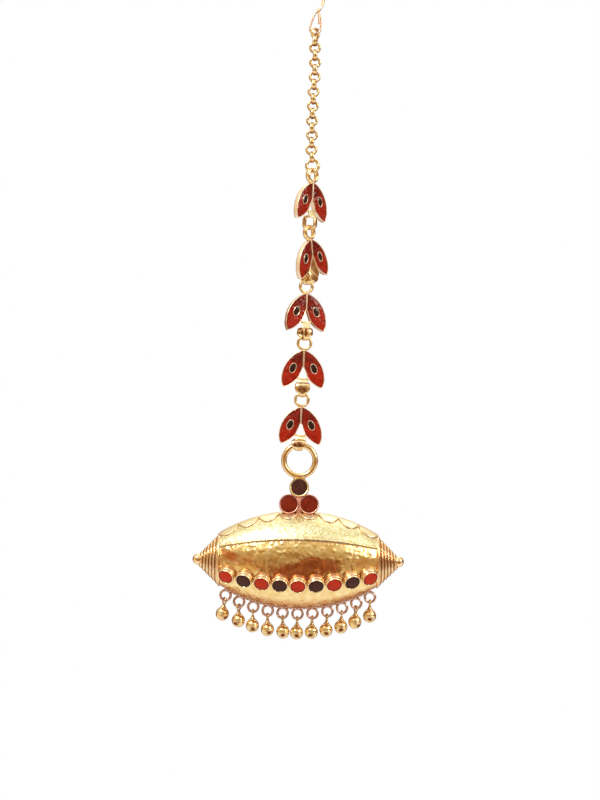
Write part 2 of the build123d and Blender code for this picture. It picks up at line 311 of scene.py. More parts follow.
def carried(path: Array, section: Array, facing: Array | tuple[float, ...],
            looped: bool = False) -> Array:
    """Rings of a section carried along a path.

    Ring i is path + x * side + y * up, where up is the facing direction made square to the path's
    tangent and side is up x tangent.

    Args:
        path: Points as (point, xyz).
        section: Section points as (point, 2), or one section for each path point.
        facing: Direction of the section's y, one or one for each path point.
        looped: Whether the path is closed.

    Returns:
        Rings as (ring, point, xyz).
    """
    if looped:
        tangent = np.roll(path, -1, axis=0) - np.roll(path, 1, axis=0)
    else:
        tangent = np.gradient(path, axis=0)
    tangent = tangent / np.linalg.norm(tangent, axis=1, keepdims=True)
    up = np.broadcast_to(np.asarray(facing, float), path.shape)
    up = up - np.einsum("ij,ij->i", up, tangent)[:, None] * tangent
    up = up / np.linalg.norm(up, axis=1, keepdims=True)
    side = np.cross(up, tangent)
    section = np.broadcast_to(section, (len(path), *section.shape[-2:]))
    return path[:, None] + section[..., :1] * side[:, None] + section[..., 1:] * up[:, None]


def smooth_path(corners: list[tuple[float, ...]] | Array, per_span: int = 8,
                looped: bool = False) -> Array:
    """A Catmull-Rom curve through corner points.

    Between corners p1 and p2 it is (2 p1 + (p2 - p0) t + (2 p0 - 5 p1 + 4 p2 - p3) t^2
    + (3 p1 - p0 - 3 p2 + p3) t^3) / 2.

    Args:
        corners: Points to pass through.
        per_span: Samples from one corner to the next.
        looped: Whether the curve closes.

    Returns:
        Points along the curve.
    """
    p = np.asarray(corners, float)
    if looped:
        p0, p1, p2, p3 = np.roll(p, 1, 0), p, np.roll(p, -1, 0), np.roll(p, -2, 0)
    else:
        padded = np.concatenate([2 * p[:1] - p[1:2], p, 2 * p[-1:] - p[-2:-1]])
        p0, p1, p2, p3 = padded[:-3], padded[1:-2], padded[2:-1], padded[3:]
    t = np.linspace(0, 1, per_span, endpoint=False)[None, :, None]
    p0, p1, p2, p3 = (q[:, None] for q in (p0, p1, p2, p3))
    curve = (2 * p1 + (p2 - p0) * t + (2 * p0 - 5 * p1 + 4 * p2 - p3) * t**2
             + (3 * p1 - p0 - 3 * p2 + p3) * t**3) / 2
    curve = curve.reshape(-1, p.shape[1])
    return curve if looped else np.concatenate([curve, p[-1:]])


def flat_to_space(points: Array, height: float | Array = 0.0) -> Array:
    """Flat points (..., 2) given a height as their third coordinate."""
    height = np.broadcast_to(np.asarray(height, float), points.shape[:-1])
    return np.concatenate([points, height[..., None]], axis=-1)


def stacked(loop: Callable[[float], Array], steps: Sequence[Pair]) -> Array:
    """Rings of a loop that depends on its inset, one at each (inset, height)."""
    return np.stack([flat_to_space(loop(inset), height) for inset, height in steps])


def wire(path: Array, radius: float, looped: bool = False, around: int = 14) -> Skin:
    """A round wire along a path, its open ends rounded.

    At an end the section shrinks as cos(a) while the path runs on by radius * sin(a).

    Args:
        path: Points as (point, xyz).
        radius: Radius of the wire.
        looped: Whether the wire is closed.
        around: Points round the wire.

    Returns:
        The wire.
    """
    section = rounded_section(radius, radius, around=around)
    if looped:
        return loft(carried(path, section, FACE_ON, looped=True), looped=True)
    angle = np.radians([78.0, 52.0, 26.0])
    first, last = path[0] - path[1], path[-1] - path[-2]
    first, last = first / np.linalg.norm(first), last / np.linalg.norm(last)
    head = path[0] + radius * np.sin(angle)[:, None] * first
    foot = path[-1] + radius * np.sin(angle[::-1])[:, None] * last
    scale = np.concatenate([np.cos(angle), np.ones(len(path)), np.cos(angle[::-1])])
    whole = np.concatenate([head, path, foot])
    rings = carried(whole, section[None] * scale[:, None, None], FACE_ON)
    tips = (path[0] + radius * first, path[-1] + radius * last)
    return loft(rings, tips=tips)


def circle_path(radius: float, count: int) -> Array:
    """Points of a circle about the origin in the drawn plane."""
    return flat_to_space(radius * rays(np.linspace(0, 2 * np.pi, count, endpoint=False)))


def band_ring(radius: float, half_thick: float, half_wide: float, power: float,
              count: int, around: int = 16) -> Skin:
    """A ring about the origin in the drawn plane, its section a superellipse."""
    section = rounded_section(half_thick, half_wide, power, around)
    return loft(carried(circle_path(radius, count), section, FACE_ON, looped=True), looped=True)


def turned(profile: Array, around: int, tone: Array | float = 0.0) -> Skin:
    """A profile of (radius, height) turned about the drawn z axis.

    Its first and last point lie on the axis and close the skin.

    Args:
        profile: Points as (point, 2).
        around: Points round the axis.
        tone: Tone, one or one for each inner point of the profile.

    Returns:
        The turned skin.
    """
    angle = np.linspace(0, 2 * np.pi, around, endpoint=False)
    radius, height = profile[1:-1, :1], profile[1:-1, 1:]
    rings = flat_to_space(radius[..., None] * rays(angle), height)
    tips = (np.array([0, 0, profile[0, 1]]), np.array([0, 0, profile[-1, 1]]))
    return loft(rings, tips=tips, tone=tone)


def ripple(points: Array, length: float, seed: int, waves: int = 6) -> Array:
    """Seeded unevenness: the mean of sines of points . k + phase, |k| near 2 pi / length.

    Args:
        points: Points as (..., 2) or (..., 3).
        length: Typical wave length in millimetres.
        seed: Seed of the directions and phases.
        waves: Number of sines.

    Returns:
        Values between -1 and 1, one a point.
    """
    chance = np.random.default_rng(seed)
    aim = chance.normal(size=(waves, points.shape[-1]))
    aim *= 2 * np.pi / length / np.linalg.norm(aim, axis=1, keepdims=True)
    aim *= chance.uniform(0.6, 1.5, (waves, 1))
    phase = chance.uniform(0, 2 * np.pi, waves)
    return np.sin(points @ aim.T + phase).mean(-1) * 1.6


def bump_at(x: Array, y: Array, centre: Pair, size: Pair,
            tilt: float = 0.0) -> Array:
    """A soft spot exp(-(u/a)^2 - (v/b)^2), where u and v are x and y from a centre, tilted."""
    c, s = math.cos(math.radians(tilt)), math.sin(math.radians(tilt))
    dx, dy = x - centre[0], y - centre[1]
    return np.exp(-(((c * dx + s * dy) / size[0]) ** 2) - ((c * dy - s * dx) / size[1]) ** 2)


def spotted(x: Array, y: Array,
            spots: Sequence[tuple[Pair, Pair, float, float]]) -> Array:
    """The sum of soft spots, each given by its centre, size, tilt and height."""
    return sum(height * bump_at(x, y, at, size, tilt) for at, size, tilt, height in spots)


def arc_radius(half: float, sag: float) -> float:
    """Radius of the arc that sags so much over a half chord: (half^2 + sag^2) / (2 sag)."""
    return (half**2 + sag**2) / (2 * sag)


def arched(x: Array, top: float, radius: float) -> Array:
    """Height at x of an arc with its top at x = 0: top - radius + sqrt(radius^2 - x^2)."""
    return top - radius + np.sqrt(radius**2 - np.asarray(x) ** 2)


def smooth_step(value: Array, low: float, high: float) -> Array:
    """0 below low, 1 above high and 3 t^2 - 2 t^3 between."""
    t = np.clip((value - low) / (high - low), 0, 1)
    return t * t * (3 - 2 * t)


def slab(value: Array, low: float, high: float, soft: float = 0.18) -> Array:
    """1 between low and high, with soft ends just inside them, and 0 elsewhere."""
    return smooth_step(value, low, low + soft) * (1 - smooth_step(value, high - soft, high))


# ------------------------------------------------------------------ finishes
@dataclass
class Graph:
    """A small builder over one node tree."""

    tree: bpy.types.NodeTree

    def add(self, kind: str, inputs: dict[str, Any] | None = None, **settings: Any) -> Any:
        """A node of a kind with its settings made and its inputs set or linked."""
        node = self.tree.nodes.new(kind)
        for name, value in settings.items():
            setattr(node, name, value)
        for name, value in (inputs or {}).items():
            self.feed(node.inputs[int(name) if name.isdigit() else name], value)
        return node

    def feed(self, socket: Any, value: Any) -> None:
        """Link a socket's source, or set its value."""
        if isinstance(value, bpy.types.NodeSocket):
            self.tree.links.new(value, socket)
        else:
            socket.default_value = value

    def noise(self, place: Any, size: float, detail: float = 2.0, rough: float = 0.5) -> Any:
        """Noise whose lumps have a size in metres."""
        return self.add("ShaderNodeTexNoise", {
            "Vector": place, "Scale": 1 / size, "Detail": detail, "Roughness": rough,
        }).outputs["Fac"]

    def spread(self, value: Any, low: float, high: float, to_low: float, to_high: float) -> Any:
        """A value mapped from one range to another, clamped."""
        return self.add("ShaderNodeMapRange", {
            "Value": value, "From Min": low, "From Max": high, "To Min": to_low, "To Max": to_high,
        }).outputs["Result"]

    def maths(self, operation: str, a: Any, b: Any = 0.0) -> Any:
        """One arithmetic node."""
        return self.add("ShaderNodeMath", {"0": a, "1": b}, operation=operation).outputs[0]

    def bump(self, height: Any, depth: float, over: Any = None) -> Any:
        """A bump of a depth in metres, laid over another bump's normal."""
        inputs = {"Height": height, "Distance": depth, "Strength": 1.0}
        if over is not None:
            inputs["Normal"] = over
        return self.add("ShaderNodeBump", inputs).outputs["Normal"]

    def blend(self, amount: Any, a: Any, b: Any, how: str = "MIX") -> Any:
        """Two colours mixed."""
        node = self.add("ShaderNodeMix", data_type="RGBA", blend_type=how)
        self.feed(node.inputs[0], amount)
        self.feed(node.inputs[6], a if isinstance(a, bpy.types.NodeSocket) else (*a, 1.0))
        self.feed(node.inputs[7], b if isinstance(b, bpy.types.NodeSocket) else (*b, 1.0))
        return node.outputs[2]


def blank_graph(owner: bpy.types.Material | bpy.types.World) -> Graph:
    """A builder over the emptied node tree of a material or the world."""
    owner.use_nodes = True
    owner.node_tree.nodes.clear()
    return Graph(owner.node_tree)


def put_in_scene(name: str, data: Any) -> bpy.types.Object:
    """A new object that shows a mesh, lamp or camera."""
    shown = bpy.data.objects.new(name, data)
    bpy.context.scene.collection.objects.link(shown)
    return shown


def fresh_material(name: str) -> tuple[bpy.types.Material, Graph, Any, Any]:
    """An empty node material.

    Args:
        name: Name of the material.

    Returns:
        The material, its graph, its shader and the object coordinates.
    """
    material = bpy.data.materials.new(name)
    graph = blank_graph(material)
    shader = graph.add("ShaderNodeBsdfPrincipled")
    graph.add("ShaderNodeOutputMaterial", {"Surface": shader.outputs["BSDF"]})
    place = graph.add("ShaderNodeTexCoord").outputs["Object"]
    return material, graph, shader, place


@dataclass(frozen=True)
class GoldFinish:
    """Gold plating: uneven colour, darker where the tone paints shade and reflections and marks
    tarnish, a fine grain and soft dents.
    """

    name: str
    bright: Colour = (1.0, 0.80, 0.46)
    deep: Colour = (0.93, 0.58, 0.23)
    shade_and_tarnish: Colour = (0.36, 0.095, 0.025)
    smooth: float = 0.14
    rough: float = 0.30
    patch: float = 0.0011
    grain: float = 0.00022
    grain_depth: float = 0.000012
    dent: float = 0.0013
    dent_depth: float = 0.00004
    speck: float = 0.35
    crease: float = 0.0013
    crease_depth: float = 0.0
    slot: Slot = Slot.GOLD

    def material(self) -> bpy.types.Material:
        """The finish as a material, made once."""
        if self.name in bpy.data.materials:
            return bpy.data.materials[self.name]
        material, graph, shader, place = fresh_material(self.name)
        tone = graph.add("ShaderNodeAttribute", attribute_name="tone").outputs["Fac"]
        patches = graph.spread(graph.noise(place, self.patch, 4, 0.6), 0.36, 0.64, 0, 1)
        grain = graph.noise(place, self.grain, 3, 0.65)
        specks = graph.spread(grain, 0.30, 0.46, self.speck, 0)
        colour = graph.blend(patches, self.bright, self.deep)
        colour = graph.blend(specks, colour, self.deep)
        # painted shade and painted reflections, with some real tarnish, blend in here by the tone
        colour = graph.blend(tone, colour, self.shade_and_tarnish)
        graph.feed(shader.inputs["Base Color"], colour)
        shader.inputs["Metallic"].default_value = 1.0
        wear = graph.noise(place, self.patch * 0.6, 3, 0.6)
        rough = graph.spread(wear, 0.35, 0.65, self.smooth, self.rough)
        rough = graph.maths("ADD", rough, graph.maths("MULTIPLY", tone, 0.16))
        graph.feed(shader.inputs["Roughness"], rough)
        ridges = graph.add("ShaderNodeTexNoise", {
            "Vector": place, "Scale": 1 / self.crease, "Detail": 3.0, "Roughness": 0.55,
        }, noise_type="RIDGED_MULTIFRACTAL").outputs["Fac"]
        creases = graph.bump(ridges, self.crease_depth)
        dents = graph.bump(graph.noise(place, self.dent, 2, 0.5), self.dent_depth, creases)
        graph.feed(shader.inputs["Normal"], graph.bump(grain, self.grain_depth, dents))
        return material


@dataclass(frozen=True)
class EnamelFinish:
    """Glassy enamel: two shades that drift into each other, small specks and a wavy gloss."""

    name: str
    slot: Slot
    light: Colour
    dark: Colour
    patch: float = 0.0012
    speck: float = 0.00018
    pit: float = 0.00042
    smooth: float = 0.06
    rough: float = 0.20
    wave: float = 0.0009
    wave_depth: float = 0.00005
    pit_depth: float = 0.0
    gloss: float = 0.35
    coat: float = 0.4

    def material(self) -> bpy.types.Material:
        """The finish as a material, made once."""
        if self.name in bpy.data.materials:
            return bpy.data.materials[self.name]
        material, graph, shader, place = fresh_material(self.name)
        tone = graph.add("ShaderNodeAttribute", attribute_name="tone").outputs["Fac"]
        drift = graph.spread(graph.noise(place, self.patch, 3, 0.6), 0.35, 0.65, -0.25, 0.35)
        # the tone darkens the enamel: painted shade along its edges, and on the leaves darker
        # towards their tops
        amount = graph.add("ShaderNodeMath", {"0": drift, "1": tone}, operation="ADD",
                           use_clamp=True)
        colour = graph.blend(amount.outputs[0], self.light, self.dark)
        specks = graph.spread(graph.noise(place, self.speck, 2, 0.6), 0.64, 0.74, 0, 0.35)
        colour = graph.blend(specks, colour, self.dark)
        graph.feed(shader.inputs["Base Color"], colour)
        gloss = graph.noise(place, self.patch * 0.7, 3, 0.6)
        graph.feed(shader.inputs["Roughness"],
                   graph.spread(gloss, 0.35, 0.65, self.smooth, self.rough))
        shader.inputs["Specular IOR Level"].default_value = self.gloss
        shader.inputs["Coat Weight"].default_value = self.coat
        shader.inputs["Coat Roughness"].default_value = 0.06
        waves = graph.bump(graph.noise(place, self.wave, 2, 0.5), self.wave_depth)
        pits = graph.spread(graph.noise(place, self.pit, 1, 0.5), 0.60, 0.72, 0, 1)
        graph.feed(shader.inputs["Normal"], graph.bump(pits, self.pit_depth, waves))
        return material


GOLD_HOOK = GoldFinish(
    "gold_hook", bright=(0.90, 0.66, 0.46), deep=(0.80, 0.52, 0.33), smooth=0.26, rough=0.38,
    patch=0.004, grain_depth=0.0, dent_depth=0.000004,
)
GOLD_CHAIN = GoldFinish(
    "gold_chain", bright=(1.0, 0.84, 0.48), deep=(0.90, 0.62, 0.27), shade_and_tarnish=(0.44, 0.17, 0.05),
    grain_depth=0.000002, dent_depth=0.000008,
)
GOLD_WIRE = GoldFinish(
    "gold_wire", bright=(1.0, 0.80, 0.48), deep=(0.92, 0.58, 0.27), grain_depth=0.000004,
    dent_depth=0.000012,
)
# Leaf rims and eye rings: the paler colour paints the highlight along their rounded tops; the
# higher roughness is real.
GOLD_RIM_PAINTED_HIGHLIGHT = GoldFinish(
    "gold_rim", bright=(1.0, 0.90, 0.71), deep=(1.0, 0.77, 0.50), smooth=0.30, rough=0.46,
    grain_depth=0.000004, dent_depth=0.00001,
)
# Reddened gold for the web and lower top cells: a painted reflection of the maroon enamel beside
# it.
GOLD_RED_REFLECTION = GoldFinish(
    "gold_ruddy", bright=(0.96, 0.62, 0.48), deep=(0.80, 0.30, 0.22), shade_and_tarnish=(0.34, 0.06, 0.03),
    smooth=0.28, rough=0.42, patch=0.0005, grain_depth=0.000008,
)
GOLD_CAST = GoldFinish(
    "gold_cast", bright=(1.0, 0.83, 0.49), deep=(0.93, 0.62, 0.27), shade_and_tarnish=(0.24, 0.055, 0.014),
    grain_depth=0.000006, dent_depth=0.00002,
)
GOLD_COLLAR = GoldFinish(
    "gold_collar", bright=(1.0, 0.85, 0.55), deep=(0.94, 0.66, 0.33), smooth=0.20, rough=0.32,
    grain_depth=0.000002, dent_depth=0.000006,
)
GOLD_PLATE = GoldFinish(
    "gold_upper_plate", bright=(0.97, 0.93, 0.65), deep=(0.72, 0.62, 0.26), smooth=0.20,
    rough=0.34, patch=0.0006, grain=0.00030, grain_depth=0.000085, dent=0.0009,
    dent_depth=0.00003, speck=1.0,
)
# Its dark colour mostly paints the copper reflection and the shade on the lower plate.
GOLD_LOWER = GoldFinish(
    "gold_lower_plate", bright=(1.0, 0.82, 0.42), deep=(0.90, 0.60, 0.22),
    shade_and_tarnish=(0.60, 0.20, 0.06), smooth=0.15, rough=0.28, patch=0.0016, grain=0.00028,
    grain_depth=0.000014, dent=0.0011, crease_depth=0.00020,
)
GOLD_BORDER = GoldFinish(
    "gold_border", bright=(1.0, 0.93, 0.64), deep=(0.97, 0.82, 0.47), smooth=0.30, rough=0.44,
    dent_depth=0.00002,
)
GOLD_BALL = GoldFinish(
    "gold_ball", bright=(1.0, 0.84, 0.50), deep=(0.92, 0.62, 0.25), shade_and_tarnish=(0.22, 0.05, 0.012),
    patch=0.0008, grain_depth=0.000003, dent=0.0010, dent_depth=0.00005,
)
GOLD_TWIST = GoldFinish(
    "gold_twist", bright=(1.0, 0.90, 0.80), deep=(1.0, 0.74, 0.60), shade_and_tarnish=(0.40, 0.085, 0.03),
    rough=0.26, grain_depth=0.000002, dent_depth=0.000006,
)
LEAF_RED = EnamelFinish(
    "leaf_red", Slot.LEAF_RED, (0.40, 0.018, 0.006), (0.10, 0.004, 0.002), smooth=0.03,
    rough=0.09, wave=0.0007, wave_depth=0.00009, pit_depth=0.00005, gloss=0.32, coat=0.25,
)
LEAF_EYE = EnamelFinish(
    "leaf_eye", Slot.LEAF_DARK, (0.030, 0.008, 0.006), (0.010, 0.003, 0.003), coat=0.2,
)
CELL_RED = EnamelFinish(
    "cell_red", Slot.CELL_RED, (0.56, 0.036, 0.008), (0.30, 0.012, 0.004), gloss=0.12, coat=0.0,
    rough=0.36,
)
CELL_MAROON = EnamelFinish(
    "cell_maroon", Slot.CELL_MAROON, (0.19, 0.016, 0.003), (0.09, 0.006, 0.002), gloss=0.18,
    coat=0.0, rough=0.40,
)
CELL_DARK = EnamelFinish(
    "cell_dark", Slot.CELL_DARK, (0.075, 0.022, 0.014), (0.020, 0.007, 0.005), gloss=0.14,
    coat=0.0, rough=0.32,
)


def make_piece(name: str, skin: Skin, finish: GoldFinish | EnamelFinish, body: Body,
               nodes: tuple[str, ...] = (), crease: float = 48.0) -> None:
    """Make a skin an object, dress it and set it on its body.

    Args:
        name: Name of the piece.
        skin: Its points and faces, already in place.
        finish: Its finish, which names the record's slot that it stands for.
        body: The body it rides on.
        nodes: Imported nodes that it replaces.
        crease: Edges sharper than this angle stay sharp.
    """
    mesh = bpy.data.meshes.new(name)
    faces = skin.quads.tolist() + skin.tris.tolist()
    mesh.from_pydata((skin.points * MM).tolist(), [], faces)
    mesh.attributes.new("tone", "FLOAT", "POINT").data.foreach_set(
        "value", np.clip(skin.tone, 0, 1).astype(np.float32))
    mesh.shade_smooth()
    mesh.set_sharp_from_angle(angle=math.radians(crease))
    mesh.materials.append(finish.material())
    piece = put_in_scene(name, mesh)
    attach(piece, body.value)
    if nodes:
        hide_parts(*nodes)
    low, high = skin.points.min(0), skin.points.max(0)
    LOG.info("%s: %d faces, %s to %s mm", name, len(faces), low.round(2), high.round(2))


# ------------------------------------------------------------------ hook, chain and ring
@dataclass
class HairHook:
    """One wire folded double: over the bend, down the shank, round the eye and back."""

    strand: float = 0.205
    spacing: float = 0.175
    bend_radius: float = 1.95
    bend_y: float = -1.6
    eye_half_width: float = 1.15
    eye_arc_y: float = -14.9
    shank: tuple[Pair, ...] = (
        (1.95, -1.6), (1.95, -4.2), (1.95, -6.8), (1.80, -8.4), (1.32, -9.8), (0.80, -10.7),
        (0.55, -11.15),
    )
    free_end: tuple[Pair, ...] = ((-2.30, -5.4), (-2.13, -3.5), (-1.95, -1.6))

    def centre_line(self) -> Array:
        """Free end, half circle and shank as one smooth curve."""
        angle = np.radians([150, 120, 90, 60, 30])
        arc = (0, self.bend_y) + self.bend_radius * rays(angle)
        return smooth_path(np.concatenate([self.free_end, arc, self.shank]), 7)

    def folded(self) -> Array:
        """The closed path: one side of the centre line, the eye, and back on the other side."""
        line = self.centre_line()
        along = np.gradient(line, axis=0)
        along /= np.linalg.norm(along, axis=1, keepdims=True)
        side = np.stack([-along[:, 1], along[:, 0]], axis=1) * self.spacing
        angle = np.radians(np.linspace(0, -180, 11))
        round_end = (0, self.eye_arc_y) + self.eye_half_width * rays(angle)
        outer = np.array([(0.98, -11.9), (1.26, -13.3)])
        inner = np.array([(-0.93, -13.9), (-0.42, -12.4), (0.02, -11.5)])
        eye = smooth_path(np.concatenate([
            line[-1:] + side[-1:], outer, round_end, inner, line[-1:] - side[-1:]
        ]), 4)
        fold = np.array([line[0] + along[0] * -self.spacing])
        return np.concatenate([line[:-1] + side[:-1], eye, (line - side)[-2::-1], fold])

    def build(self) -> None:
        """Make the wire and the short cut end that lies inside the eye."""
        path = self.folded()
        skin = wire(flat_to_space(path), self.strand, looped=True)
        cut_end = smooth_path([(0.62, -10.6), (0.70, -11.6), (0.80, -12.7), (0.80, -13.7)], 6)
        skin += wire(flat_to_space(cut_end, 0.10), self.strand * 0.95)
        reach = np.abs(skin.points[:, 1] - self.bend_y)
        skin = skin.shaded(0.30 * smooth_step(ripple(skin.points, 2.4, 5) + reach / 30, 0.2, 0.9))
        make_piece("hook_wire", skin.moved(hanging_turn()), GOLD_HOOK, Body.HANGER,
                   ("hair_hook",))


@dataclass
class BelcherChain:
    """Wide round links, each passed through the last, face on and edge on by turns."""

    radius: float = 1.025
    half_thick: float = 0.225
    side_thick: float = 0.30
    half_wide: float = 0.43
    links: int = 18
    pitch: float = 1.6
    first_z: float = -15.93
    first_facing: float = 52.0
    line: tuple[Pair, ...] = (
        (-43.1, -0.33), (-41.3, -0.50), (-38.2, -0.36), (-35.1, -0.42), (-31.9, -0.28),
        (-28.7, -0.18), (-25.4, 0.05), (-22.3, 0.07), (-19.1, 0.02), (-15.9, 0.05),
    )

    def build(self) -> None:
        """Make all links as one piece, with painted shade where one link bears on the next and on
        each link's inner side.
        """
        chance = np.random.default_rng(11)
        path = circle_path(self.radius, 40)
        beside = (path[:, 0] / self.radius) ** 2
        thick = self.half_thick + (self.side_thick - self.half_thick) * beside
        unit = rounded_section(1.0, self.half_wide, 2.5, 16)
        ring = loft(carried(path, widened(unit, thick, 1.0), FACE_ON, looped=True), looped=True)
        bearing = np.abs(ring.points[:, 1]) / self.radius
        away = np.hypot(ring.points[:, 0], ring.points[:, 1])
        inward = smooth_step(self.radius - away, -0.05, 0.2)
        # painted shade at the ends where links bear and on the inner side of each link
        ring = ring.shaded(0.75 * smooth_step(bearing, 0.72, 1.0) + 0.25 * inward)
        heights, offsets = np.array(self.line).T

        def link(number: int) -> Skin:
            """One link, hung a little askew."""
            z = self.first_z - number * self.pitch
            facing = (0 if number % 2 == 0 else 90) + chance.uniform(-9, 9)
            facing = self.first_facing if number == 0 else facing
            turn = hanging_turn(facing, chance.uniform(-4, 4), chance.uniform(-5, 5))
            return ring.moved(turn, (np.interp(z, heights, offsets), 0.0, z))

        make_piece("chain_links", joined(map(link, range(self.links))), GOLD_CHAIN, Body.HANGER,
                   ("belcher_chain",))


@dataclass
class JumpRing:
    """A stout ring whose cut ends lie side by side."""

    radius: float = 1.30
    wire: float = 0.36
    spread: float = 0.22
    overlap: float = 46.0

    def build(self) -> None:
        """Make the ring: its path climbs by the spread as it goes once round and overlaps."""
        low, high = box_mm("chain_jump_ring")
        angle = np.radians(np.linspace(-self.overlap, 360 + self.overlap * 0.2, 64) - 10)
        climb = np.linspace(-self.spread, self.spread, 64)
        skin = wire(flat_to_space(self.radius * rays(angle), climb), self.wire, around=16)
        skin = skin.shaded(0.45 * smooth_step(ripple(skin.points, 1.6, 3), 0.0, 0.8))
        make_piece("ring_below_chain", skin.moved(hanging_turn(), (low + high) / 2), GOLD_CAST,
                   Body.HANGER, ("chain_jump_ring",))


# ------------------------------------------------------------------ leaf links
def arc_points(start: Pair, via: Pair, end: Pair, step: float = 0.05) -> Array:
    """Points of the circle arc from one point through a second to a third, the end left out.

    Args:
        start: First point.
        via: A point on the way.
        end: Last point.
        step: Distance between points.

    Returns:
        Points as (point, 2).
    """
    a, b, c = (np.asarray(p, float) for p in (start, via, end))
    system = 2 * np.array([b - a, c - a])
    centre = np.linalg.solve(system, [b @ b - a @ a, c @ c - a @ a])
    radius = np.linalg.norm(a - centre)
    angles = [math.atan2(*(p - centre)[::-1]) for p in (a, b, c)]
    for k in (1, 2):
        angles[k] = angles[0] + (angles[k] - angles[0] + math.pi) % (2 * math.pi) - math.pi
    count = max(3, int(abs(angles[2] - angles[0]) * radius / step))
    angle = np.linspace(angles[0], angles[2], count, endpoint=False)
    return centre + radius * rays(angle)


def rounded_off(outline: Array, width: int) -> Array:
    """A closed outline with its corners eased by a running mean over a few points."""
    shifts = range(-width, width + 1)
    return sum(np.roll(outline, s, axis=0) for s in shifts) / (2 * width + 1)


def inset_loop(outline: Array, centre: Array, angles: Array, inset: float) -> Array:
    """An outline moved inward, sampled along rays from a centre.

    Each point goes along its inward normal.  Points that end nearer the outline than the inset
    are left out, and the rest give the radius as a function of the angle about the centre.

    Args:
        outline: Closed outline as (point, 2).
        centre: Centre of the rays.
        angles: Angles of the rays.
        inset: Distance to move inward.

    Returns:
        Points as (ray, 2).
    """
    ahead = np.roll(outline, -1, axis=0) - np.roll(outline, 1, axis=0)
    ahead /= np.linalg.norm(ahead, axis=1, keepdims=True)
    normal = np.stack([-ahead[:, 1], ahead[:, 0]], axis=1)
    normal *= np.sign(np.einsum("ij,ij->i", normal, centre - outline).sum())
    inside = outline + inset * normal
    gap = np.linalg.norm(inside[:, None] - outline[None], axis=2).min(1)
    inside = inside[gap > 0.97 * inset - 1e-6]
    away = inside - centre
    bearing = np.arctan2(away[:, 1], away[:, 0])
    order = np.argsort(bearing)
    radius = np.interp(angles, bearing[order], np.linalg.norm(away, axis=1)[order],
                       period=2 * np.pi)
    return centre + radius[:, None] * rays(angles)


